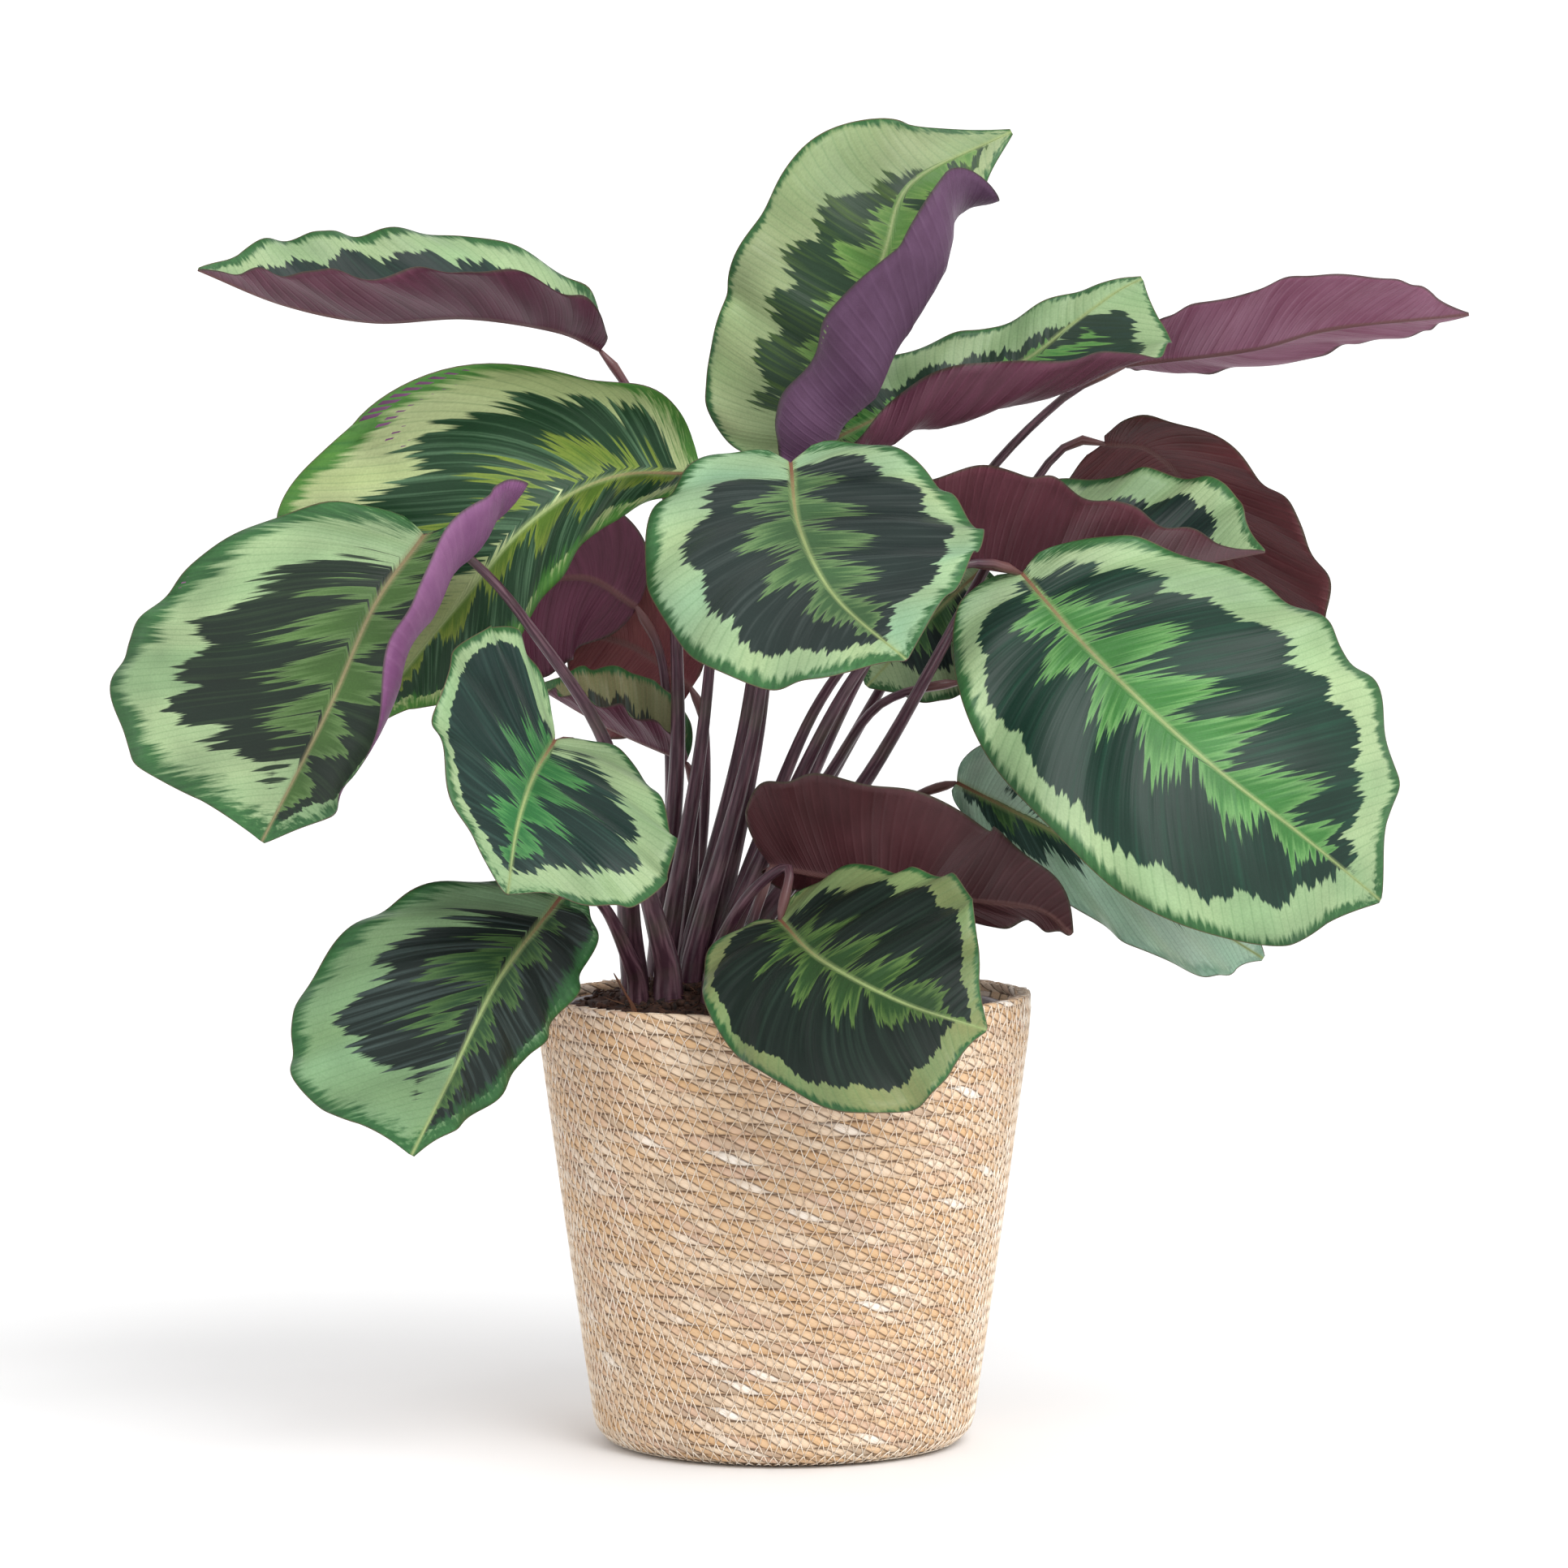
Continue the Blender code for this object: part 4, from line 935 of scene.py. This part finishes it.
def basket_shape(settings):
    """Rows of twisted rope as one closed skin: underside, outer wall, rim, inner wall and floor.

    Across a row the rope is half a circle. Along it the strands lie side by side, each swelling as the
    root of a sine and crossing the row on the line that a helix shows from the side.
    """
    rows, length = rope_rows(settings)
    last = rows * ROW_SAMPLES
    angle = turns(BASKET_AROUND)
    step = np.arange(last + 1)[:, None]
    row = step // ROW_SAMPLES
    v = -1 + 2 * (step % ROW_SAMPLES) / ROW_SAMPLES
    strands = round(2 * np.pi * BASKET_FOOT_RADIUS * STRAND_GIRTH / (settings.strand_length / MM))
    rng = np.random.default_rng(11)
    offset = rng.uniform(0, 1, rows + 2)
    swell = rng.uniform(-1, 1, (rows + 2, strands + 2))

    def strand_count(v, row, turn):
        """Strands passed at a share of a turn; an arcsine across the row gives a helix's slant."""
        return strands * turn + offset[row] + STRAND_LEAN * np.arcsin(np.clip(v, -1, 1)) / np.pi

    count = strand_count(v, row, angle / (2 * np.pi))
    within = count - np.floor(count)
    plump = np.sqrt(np.sin(np.pi * np.clip(within, 0, 1)))
    which = np.mod(np.floor(count).astype(int), strands)
    bulge = np.sqrt(1 - v**2)
    relief = ROPE_DEPTH * bulge * (1 - STRAND_DEPTH + STRAND_DEPTH * plump)
    relief = relief + STRAND_SWELL * bulge * plump * swell[row, which]
    strays = np.clip(np.minimum(step, last - step) / 10, 0, 1)
    at = step * length / last + wander(angle, step / ROW_SAMPLES) * strays
    place, facing = on_outline(at)
    place = place + facing * (relief - ROPE_DEPTH)[..., None]
    wall = polar(place[..., 0], angle, np.maximum(place[..., 1], 0))

    under = turned([(20, 0), (45, 0), (BASKET_FOOT_RADIUS - 3, 0)], angle)
    inner = [(np.interp(z, *zip(*BASKET_SIDE)) - BASKET_WALL, z) for z in (198, 185, 165, 145, 83, 25)]
    end_radius = np.interp(BASKET_FLOOR, *zip(*BASKET_SIDE)) - BASKET_WALL - 4
    inside = turned([*inner, (end_radius, BASKET_FLOOR), (40, BASKET_FLOOR)], angle)
    rings = raised_rim(np.concatenate([under, wall, inside]), angle)
    points, quads, fans = closed_rings(rings, (0, 0, 0), (0, 0, BASKET_FLOOR))

    def corner_uv(ring, turn, upper):
        """The strand count and row count at one corner of each quad."""
        inner_ring = ring - len(under)
        on_wall = (inner_ring >= 0) & (inner_ring < last)
        its_row = np.clip(inner_ring // ROW_SAMPLES, 0, rows - 1)
        its_v = -1 + 2 * (np.mod(inner_ring, ROW_SAMPLES) + upper) / ROW_SAMPLES
        its_v = np.where(on_wall, its_v, 0)
        w = np.where(on_wall, its_row + (its_v + 1) / 2, rows + 3 + 3.3 * (ring + upper))
        return joined(strand_count(its_v, its_row, turn), w)

    ring, j = np.meshgrid(np.arange(len(rings) - 1), np.arange(BASKET_AROUND), indexing="ij")
    corners = ((j, 0), (j + 1, 0), (j + 1, 1), (j, 1))
    uv = np.stack([corner_uv(ring, k / BASKET_AROUND, upper) for k, upper in corners], 2).reshape(-1, 2)
    return points, quads, fans, np.vstack([uv, np.tile([[0.4, 200.3]], (fans.size, 1))])


def thread_shape(settings):
    """The sewing thread: a zigzag from row to row, laid on the rope, each stitch a thin three-sided bar.

    Every stitch goes down to the right by one row and back up to the start of the next one, and the
    stitches of neighbouring rows join into long slanting lines.
    """
    rows, length = rope_rows(settings)
    stitches = round(2 * np.pi * BASKET_FOOT_RADIUS * STITCH_GIRTH / (settings.stitch_length / MM))
    rng = np.random.default_rng(23)
    row, stitch = np.meshgrid(np.arange(rows), np.arange(stitches + 1), indexing="ij")
    strays = [rng.uniform(-most, most, (rows, stitches)) for most in (STITCH_ASIDE, STITCH_UP)]
    jitter, lift = [np.concatenate([values, values[:, :1]], axis=1) for values in strays]
    turn = 2 * np.pi * (stitch + STITCH_LEAN * (rows - row) + jitter) / stitches
    at = (row + 0.5 + lift) * length / rows + wander(turn, row + 0.5) * np.clip((rows - row) / 2, 0, 1)
    place, facing = on_outline(at)
    place = place + facing * THREAD_LIFT
    knots = raised_rim(polar(place[..., 0], turn, place[..., 1]), turn)
    ways = polar(facing[..., 0], turn, facing[..., 1])

    def down_and_up(down, up):
        """The stitches that go down a row, then those that go up."""
        return np.vstack([down.reshape(-1, 3), up.reshape(-1, 3)])

    start = down_and_up(knots[1:, :-1], knots[:-1, :-1])
    end = down_and_up(knots[:-1, :-1], knots[1:, 1:])
    up = down_and_up(ways[1:, :-1], ways[:-1, :-1])
    along_it = unit(end - start)
    aside = unit(np.cross(along_it, up))
    up = np.cross(aside, along_it)
    radius = settings.thread_width / MM / 2
    points = []
    for middle in (start, end):
        for turned_by in np.radians((90, 210, 330)):
            points.append(middle + radius * (aside * math.cos(turned_by) + up * math.sin(turned_by)))
    first = 6 * np.arange(len(start))[:, None]
    quads = np.concatenate([first + np.array([[a, a + 3, (a + 1) % 3 + 3, (a + 1) % 3]]) for a in range(3)])
    fans = np.concatenate([first + np.array([[0, 1, 2]]), first + np.array([[5, 4, 3]])])
    return np.stack(points, 1).reshape(-1, 3), quads, fans


def pot_shape():
    """The inner pot turned round Z: thin wall, rolled lip with rounded edges."""
    low = BASKET_FLOOR + CLEARANCE
    high = BASKET_FLOOR + POT_HEIGHT
    under_lip = high - POT_LIP_HEIGHT
    inner_top = pot_radius(high) - POT_WALL
    profile = [
        (POT_FOOT_RADIUS - 1, low),
        (POT_FOOT_RADIUS, low + 1),
        *[(pot_radius(z), z) for z in np.linspace(30, under_lip - 0.4, 6)],
        (POT_LIP_RADIUS - 0.5, under_lip),
        (POT_LIP_RADIUS, under_lip + 0.6),
        (POT_LIP_RADIUS, high - 0.9),
        (POT_LIP_RADIUS - 0.3, high - 0.3),
        (POT_LIP_RADIUS - 0.9, high),
        (inner_top + 0.7, high),
        (inner_top + 0.2, high - 0.3),
        (inner_top, high - 0.9),
        *[(pot_radius(z) - POT_WALL, z) for z in (190, 170, 100, low + POT_WALL)],
    ]
    return closed_rings(turned(profile, turns(POT_SIDES)), (0, 0, low), (0, 0, low + POT_WALL))


def soil_top(x, y):
    """Height of the soil: a mound round the stalks, with crumbs and hollows as sums of waves."""
    away = np.hypot(x - SOIL_MOUND_AT[0], y - SOIL_MOUND_AT[1])
    mound = SOIL_MOUND * np.exp(-((away / SOIL_MOUND_SPREAD) ** 2))
    crumbs = 1.5 * np.sin(0.21 * x + 1.0) * np.cos(0.17 * y) + 1.0 * np.sin(0.43 * y + 0.29 * x)
    return SOIL_EDGE_Z + mound + crumbs


def clods(x, y):
    """Small rounded lumps, as a sum of sine waves of many lengths and directions."""
    rng = np.random.default_rng(5)
    height = np.zeros_like(x)
    for wave in np.geomspace(2.6, 14, 14):
        way = rng.uniform(0, np.pi)
        run = 2 * np.pi / wave * (x * math.cos(way) + y * math.sin(way)) + rng.uniform(0, 6.28)
        height += 0.045 * wave * np.abs(np.sin(run / 2))
    return height - 0.5


def soil_shape():
    """The soil turned round Z, from its underside up the wall and over the mound, rough with clods."""
    low = BASKET_FLOOR + POT_WALL + 2 * CLEARANCE
    gap = POT_WALL + CLEARANCE + SOIL_GAP
    edge = pot_radius(SOIL_EDGE_Z) - gap
    share = np.linspace(1, 0.012, SOIL_RINGS)
    radius = np.concatenate([[pot_radius(low) - gap, edge], edge * share])[:, None]
    x, y, _ = np.moveaxis(polar(radius, turns(SOIL_SIDES), 0), -1, 0)
    z = soil_top(x, y) + clods(x, y) * np.clip((edge - radius) / 4, 0, 1)
    z[0] = low
    z[1] = z[2] - 4
    return closed_rings(joined(x, y, z), (0, 0, low), (0, 0, soil_top(0.0, 0.0)))


def scattered(count, seed):
    """Places strewn over the soil, closer together on the mound, and a generator for what lies there."""
    rng = np.random.default_rng(seed)
    edge = pot_radius(SOIL_EDGE_Z) - POT_WALL - CLEARANCE - SOIL_GAP - 3
    half = count // 2
    spread = np.sqrt(rng.uniform(0, 1, count)) * edge
    way = rng.uniform(0, 2 * np.pi, count)
    x, y = spread * np.cos(way), spread * np.sin(way)
    x[:half] = SOIL_MOUND_AT[0] + rng.normal(0, STREWN, half)
    y[:half] = SOIL_MOUND_AT[1] - 14 + rng.normal(0, STREWN, half)
    near = np.hypot(x, y) < edge
    x, y = x[near], y[near]
    return x, y, soil_top(x, y) + clods(x, y), rng


def crumb_shape():
    """Crumbs of soil: blocks of fourteen corners, each pushed in or out at random."""
    x, y, z, rng = scattered(CRUMBS, 31)
    size = CRUMB_LEAST + CRUMB_RANGE * rng.uniform(0, 1, len(x)) ** 2.5
    ends = np.array([(1, 0, 0), (-1, 0, 0), (0, 1, 0), (0, -1, 0), (0, 0, 1), (0, 0, -1)], float)
    cube = np.array([(a, b, c) for a in (-1, 1) for b in (-1, 1) for c in (-1, 1)], float) * CRUMB_CORNER
    form = np.vstack([ends, cube])
    faces = []
    for end, way in enumerate(ends):
        axis = int(np.argmax(np.abs(way)))
        ring = [6 + n for n, corner in enumerate(cube) if corner[axis] * way[axis] > 0]
        a, b = [k for k in range(3) if k != axis]
        ring.sort(key=lambda n: math.atan2(form[n][b], form[n][a]))
        flip = way[axis] * (1 if axis != 1 else -1) < 0
        for first, second in zip(ring, ring[1:] + ring[:1]):
            faces.append((end, second, first) if flip else (end, first, second))
    scale = size[:, None, None] * rng.uniform(0.7, 1.25, (len(x), 14, 1))
    squash = rng.uniform(0.6, 1.2, (len(x), 1, 3))
    points = form[None] * scale * squash + joined(x, y, z + 0.35 * size)[:, None]
    fans = 14 * np.arange(len(x))[:, None, None] + np.array(faces)[None]
    return points.reshape(-1, 3), np.zeros((0, 4), int), fans.reshape(-1, 3)


def fibre_shape():
    """Root and bark fibres on the soil: thin bent three-sided bars."""
    x, y, z, rng = scattered(FIBRES, 47)
    count = len(x)
    way = rng.uniform(0, 2 * np.pi, count)
    bend = rng.normal(0, 0.5, count)
    long = rng.uniform(4, 14, count)
    thick = rng.uniform(0.15, 0.42, count)
    rise = rng.uniform(-0.1, 0.45, count)
    x, y, z, way, bend, long, rise = [values[:, None] for values in (x, y, z, way, bend, long, rise)]
    step = np.linspace(-0.5, 0.5, 5)[None, :]
    line = polar(long * step, way + bend * step, 0.6 + long * rise * (step + 0.3)) + joined(x, y, z)
    line[..., 2] = np.maximum(line[..., 2], soil_top(line[..., 0], line[..., 1]) + 0.2)
    bars = []
    for number in range(count):
        rings = rings_along(line[number], thick[number] * np.array([0.5, 1.0, 1.0, 0.8, 0.3]), 3)
        points, quads, fans = closed_rings(rings, line[number, 0], line[number, -1])
        bars.append((points, quads + number * len(points), fans + number * len(points)))
    return [np.vstack(parts) for parts in zip(*bars)]


def sheath_shape():
    """The dry scale: a thin crumpled strip rolled round its own length, tapering at both ends."""
    line, _ = smooth_curve(SCALE_LINE, SCALE_RINGS)
    share = np.linspace(0, 1, SCALE_RINGS)[:, None]
    angle = turns(SCALE_SIDES)
    width = SCALE_WIDTH * np.sqrt(np.clip(np.sin(np.pi * (0.08 + 0.9 * share)), 0, 1)) * (1 - 0.55 * share)
    crumple = 1 + 0.25 * np.sin(3 * angle + 9 * share) + 0.15 * np.sin(23 * share + 2 * angle)
    across = (width * crumple * np.cos(angle))[..., None]
    thick = (SCALE_FLATNESS * width * crumple * np.sin(angle))[..., None]
    _, first, second = frame_along(line)
    one, two = rolled(first[:, None], second[:, None], (SCALE_TWIST * share)[..., None])
    return closed_rings(line[:, None] + one * across + two * thick, line[0], line[-1])


def setting(name, description, value, make=bpy.props.FloatProperty, **more):
    """A number that the sidebar shows."""
    return make(name=name, description=description, default=value, min=0.0, **more)


def measure(name, description, millimetres):
    """A length in the sidebar, given in millimetres."""
    return setting(name, description, millimetres * MM, precision=5, unit="LENGTH")


def tint(name, description, hex_colour):
    """A colour in the sidebar."""
    kind = dict(make=bpy.props.FloatVectorProperty, subtype="COLOR", size=3, max=1.0)
    return setting(name, description, linear(hex_colour), **kind)


class CalatheaSettings(bpy.types.PropertyGroup):
    """Sizes, colours and lights of the potted calathea."""

    leaf_thickness: measure("Leaf thickness", "Thickness of a blade between its veins", 0.5)
    leaf_shade: setting("Leaf shade", "How deep the leaf colours are", 0.66, max=1.0)
    rope_width: measure("Rope width", "Height of one row of the basket's rope", 6.44)
    strand_length: measure("Strand length", "Length of a strand as it shows along a row", 9.5)
    stitch_length: measure("Stitch length", "Distance from one sewing stitch to the next", 5.6)
    thread_width: measure("Thread width", "Thickness of the sewing thread", 0.55)
    stalk_plum: tint("Stalk", "Main colour of the leaf stalks", "#402631")
    stalk_streak: tint("Stalk streaks", "Lighter streaks along the stalks", "#7A5A64")
    stalk_green: tint("Stalk green", "Olive patches on the stalks", "#4A4A38")
    stalk_foot: tint("Stalk foot", "Colour of the stalks near the soil", "#451F36")
    stalk_knee: tint("Stalk knee", "Colour of the stalk just before the blade", "#6E4A46")
    seagrass_straw: tint("Seagrass", "Main colour of the rope", "#E6C7A4")
    seagrass_pale: tint("Pale seagrass", "Paler strands", "#ECD6BC")
    seagrass_white: tint("White seagrass", "The few whitish strands", "#FFF8EE")
    seagrass_pink: tint("Pink seagrass", "Pinkish beige strands", "#DCBBA2")
    seagrass_grey: tint("Grey seagrass", "Grey-brown strands", "#C4AE96")
    seagrass_deep: tint("Deep seagrass", "Warmer strands and patches", "#DBB58A")
    seagrass_fibre: tint("Seagrass fibres", "Fine fibres along a strand", "#CFA372")
    # Painted shade laid into the gaps of the rope.
    seagrass_gap_shade: tint("Rope gaps", "Shade between the strands", "#5A3E2A")
    thread: tint("Thread", "Sewing thread", "#FFF6E8")
    pot_plastic: tint("Inner pot", "Dark plastic of the inner pot", "#40222F")
    soil_dark: tint("Soil", "Damp potting soil", "#1E1512")
    soil_light: tint("Dry soil", "Drier crumbs of soil", "#54392C")
    fibre_brown: tint("Soil fibres", "Root and bark fibres", "#6B4A34")
    sheath_brown: tint("Dry sheath", "The dry scale at the plant's foot", "#7A4630")
    floor: tint("Floor", "Plain pale floor", "#F4F4F4")
    sky_light: setting("Light at eye level", "Strength of the white surroundings", 1.2)
    sky_overhead: setting("Light overhead", "Strength of the surroundings straight above", 0.75)
    key_light: setting("Key light", "Strength of the soft light at the front right", 2.0)
    key_softness: setting("Key softness", "How wide the key light is", math.radians(40), subtype="ANGLE")


class CALATHEA_OT_leaves(bpy.types.Operator):
    """Make every leaf blade in place of its CAD solid"""

    bl_idname = "calathea.leaves"
    bl_label = "Leaves"

    def execute(self, context):
        settings = context.scene.calathea
        for position, values in enumerate(LEAVES):
            spec = {**values, "phase": PHASE_STEP * position}
            name = spec["name"]
            points, quads, upper, place, flat = blade_shell(spec, settings.leaf_thickness / MM)
            skins = [leaf_upper_material(spec, settings), leaf_under_material(spec, settings)]
            vectors = (("vein_place", place), ("leaf_flat", flat))
            piece = new_piece("leaf_" + name, "blade_" + name, "leaf", skins, points, quads, (), vectors)
            below = (np.arange(len(quads)) >= upper).astype(np.int32)
            piece.data.polygons.foreach_set("material_index", below)
        return {"FINISHED"}


class CALATHEA_OT_stalks(bpy.types.Operator):
    """Make every leaf stalk, from the soil to the foot of its blade"""

    bl_idname = "calathea.stalks"
    bl_label = "Stalks"

    def execute(self, context):
        skin = stalk_material(context.scene.calathea)
        for spec in LEAVES:
            shape, vectors = stalk_shape(spec)
            name = spec["name"]
            vectors = zip(("stalk_grain", "stalk_place"), vectors)
            new_piece("leafstalk_" + name, "stalk_" + name, "stalk", [skin], *shape, vectors)
        return {"FINISHED"}


class CALATHEA_OT_basket(bpy.types.Operator):
    """Make the basket: rows of twisted seagrass rope, and the thread that sews them together"""

    bl_idname = "calathea.basket"
    bl_label = "Basket"

    def execute(self, context):
        settings = context.scene.calathea
        *shape, uv = basket_shape(settings)
        rope = new_piece("rope_basket", "basket", "seagrass", [seagrass_material(settings)], *shape)
        rope.data.uv_layers.new(name="rope").data.foreach_set("uv", uv.astype(np.float32).ravel())
        # Cotton thread: pale, matt, with a faint change of tone along it.
        tones = settings.thread, settings.seagrass_pale
        cotton = plain_material("sewing_thread_cotton", *tones, 90.0, 0.75, 0.1)
        new_piece("basket_thread", "basket", "seagrass", [cotton], *thread_shape(settings))
        return {"FINISHED"}


class CALATHEA_OT_inner_pot(bpy.types.Operator):
    """Make the thin plastic pot that stands inside the basket"""

    bl_idname = "calathea.inner_pot"
    bl_label = "Inner pot"

    def execute(self, context):
        dark = context.scene.calathea.pot_plastic
        dusty = [1.35 * part for part in dark]
        # Moulded polypropylene: dark purple-brown, softly shiny, a little dusty.
        plastic = plain_material("moulded_polypropylene", dark, dusty, 70.0, 0.38, 0.05)
        new_piece("nursery_pot", "inner_pot", "pot_plastic", [plastic], *pot_shape())
        return {"FINISHED"}


class CALATHEA_OT_soil(bpy.types.Operator):
    """Make the soil with its crumbs and fibres"""

    bl_idname = "calathea.soil"
    bl_label = "Soil"

    def execute(self, context):
        settings = context.scene.calathea
        # Damp peat: nearly black, matt, with drier brown crumbs a millimetre or two across.
        peat = plain_material("damp_peat", settings.soil_dark, settings.soil_light, 260.0, 0.9, 0.8)
        new_piece("potting_soil", "soil", "soil", [peat], *soil_shape())
        new_piece("soil_crumbs", "soil", "soil", [peat], *crumb_shape())
        # Bark and root fibres: dry, matt, a lighter brown.
        bark = plain_material("bark_fibre", settings.fibre_brown, settings.soil_light, 160.0, 0.85, 0.1)
        new_piece("soil_fibres", "soil", "soil", [bark], *fibre_shape())
        return {"FINISHED"}


class CALATHEA_OT_dry_sheath(bpy.types.Operator):
    """Make the thin dry scale that stands at the plant's foot"""

    bl_idname = "calathea.dry_sheath"
    bl_label = "Dry sheath"

    def execute(self, context):
        settings = context.scene.calathea
        tones = settings.sheath_brown, settings.fibre_brown
        # Dead leaf sheath: papery, brown, with darker lines along it.
        papery = plain_material("papery_dry_sheath", *tones, 300.0, 0.7, 0.2, stretch=(1.0, 1.0, 0.2))
        new_piece("dry_scale", "dry_sheath", "dry_sheath", [papery], *sheath_shape())
        return {"FINISHED"}


class CALATHEA_OT_stage(bpy.types.Operator):
    """Make the pale floor, the soft studio light and the camera"""

    bl_idname = "calathea.stage"
    bl_label = "Stage"

    def execute(self, context):
        scene = context.scene
        settings = scene.calathea
        side = 8.0
        mesh = bpy.data.meshes.new("floor")
        corners = [(-side, -side, 0), (side, -side, 0), (side, side, 0), (-side, side, 0)]
        mesh.from_pydata(corners, [], [(0, 1, 2, 3)])
        # Matt white paper: even, with a hardly visible change of tone.
        dimmer = [0.98 * part for part in settings.floor]
        mesh.materials.append(plain_material("matt_paper", settings.floor, dimmer, 3.0, 0.9, 0.0))
        placed("floor", mesh)

        world = bpy.data.worlds.new("studio")
        world.use_nodes = True
        node = partial(add_node, world.node_tree)
        _, _, height = node("SeparateXYZ", (node("TexCoord", out="Generated"),)).node.outputs
        strength = node("MapRange", (height, 0.1, 1.0, settings.sky_light, settings.sky_overhead))
        feed(world.node_tree.nodes["Background"], {"Color": (1.0, 1.0, 1.0), "Strength": strength})
        scene.world = world
        lamp = bpy.data.lights.new("key", "SUN")
        lamp.energy = settings.key_light
        lamp.angle = settings.key_softness
        placed("key", lamp).rotation_euler = (-Vector(KEY_FROM)).to_track_quat("-Z", "Y").to_euler()

        lens = bpy.data.cameras.new("camera")
        lens.lens = CAMERA_LENS
        lens.sensor_width = SENSOR
        lens.clip_end = 50.0
        scene.camera = placed("camera", lens)
        scene.camera.location = CAMERA_AT
        scene.camera.rotation_euler = (math.pi / 2 - CAMERA_PITCH, 0.0, 0.0)
        scene.view_settings.view_transform = "Standard"
        scene.view_settings.look = "None"
        return {"FINISHED"}


STEPS = (
    CALATHEA_OT_leaves,
    CALATHEA_OT_stalks,
    CALATHEA_OT_basket,
    CALATHEA_OT_inner_pot,
    CALATHEA_OT_soil,
    CALATHEA_OT_dry_sheath,
    CALATHEA_OT_stage,
)


class CALATHEA_PT_sidebar(bpy.types.Panel):
    """Lists the pieces of the plant and their settings"""

    bl_idname = "CALATHEA_PT_sidebar"
    bl_label = "Calathea"
    bl_space_type = "VIEW_3D"
    bl_region_type = "UI"
    bl_category = "Calathea"

    def draw(self, context):
        for step in STEPS:
            self.layout.operator(step.bl_idname)
        for name in CalatheaSettings.__annotations__:
            self.layout.prop(context.scene.calathea, name)


CLASSES = (CalatheaSettings, *STEPS, CALATHEA_PT_sidebar)


def register():
    for made in CLASSES:
        bpy.utils.register_class(made)
    bpy.types.Scene.calathea = bpy.props.PointerProperty(type=CalatheaSettings)


def unregister():
    del bpy.types.Scene.calathea
    for made in reversed(CLASSES):
        bpy.utils.unregister_class(made)


def main():
    register()
    bpy.ops.calathea.leaves()
    bpy.ops.calathea.stalks()
    bpy.ops.calathea.basket()
    bpy.ops.calathea.inner_pot()
    bpy.ops.calathea.soil()
    bpy.ops.calathea.dry_sheath()
    bpy.ops.calathea.stage()
    bpy.context.view_layer.update()


if __name__ == "__main__":
    main()
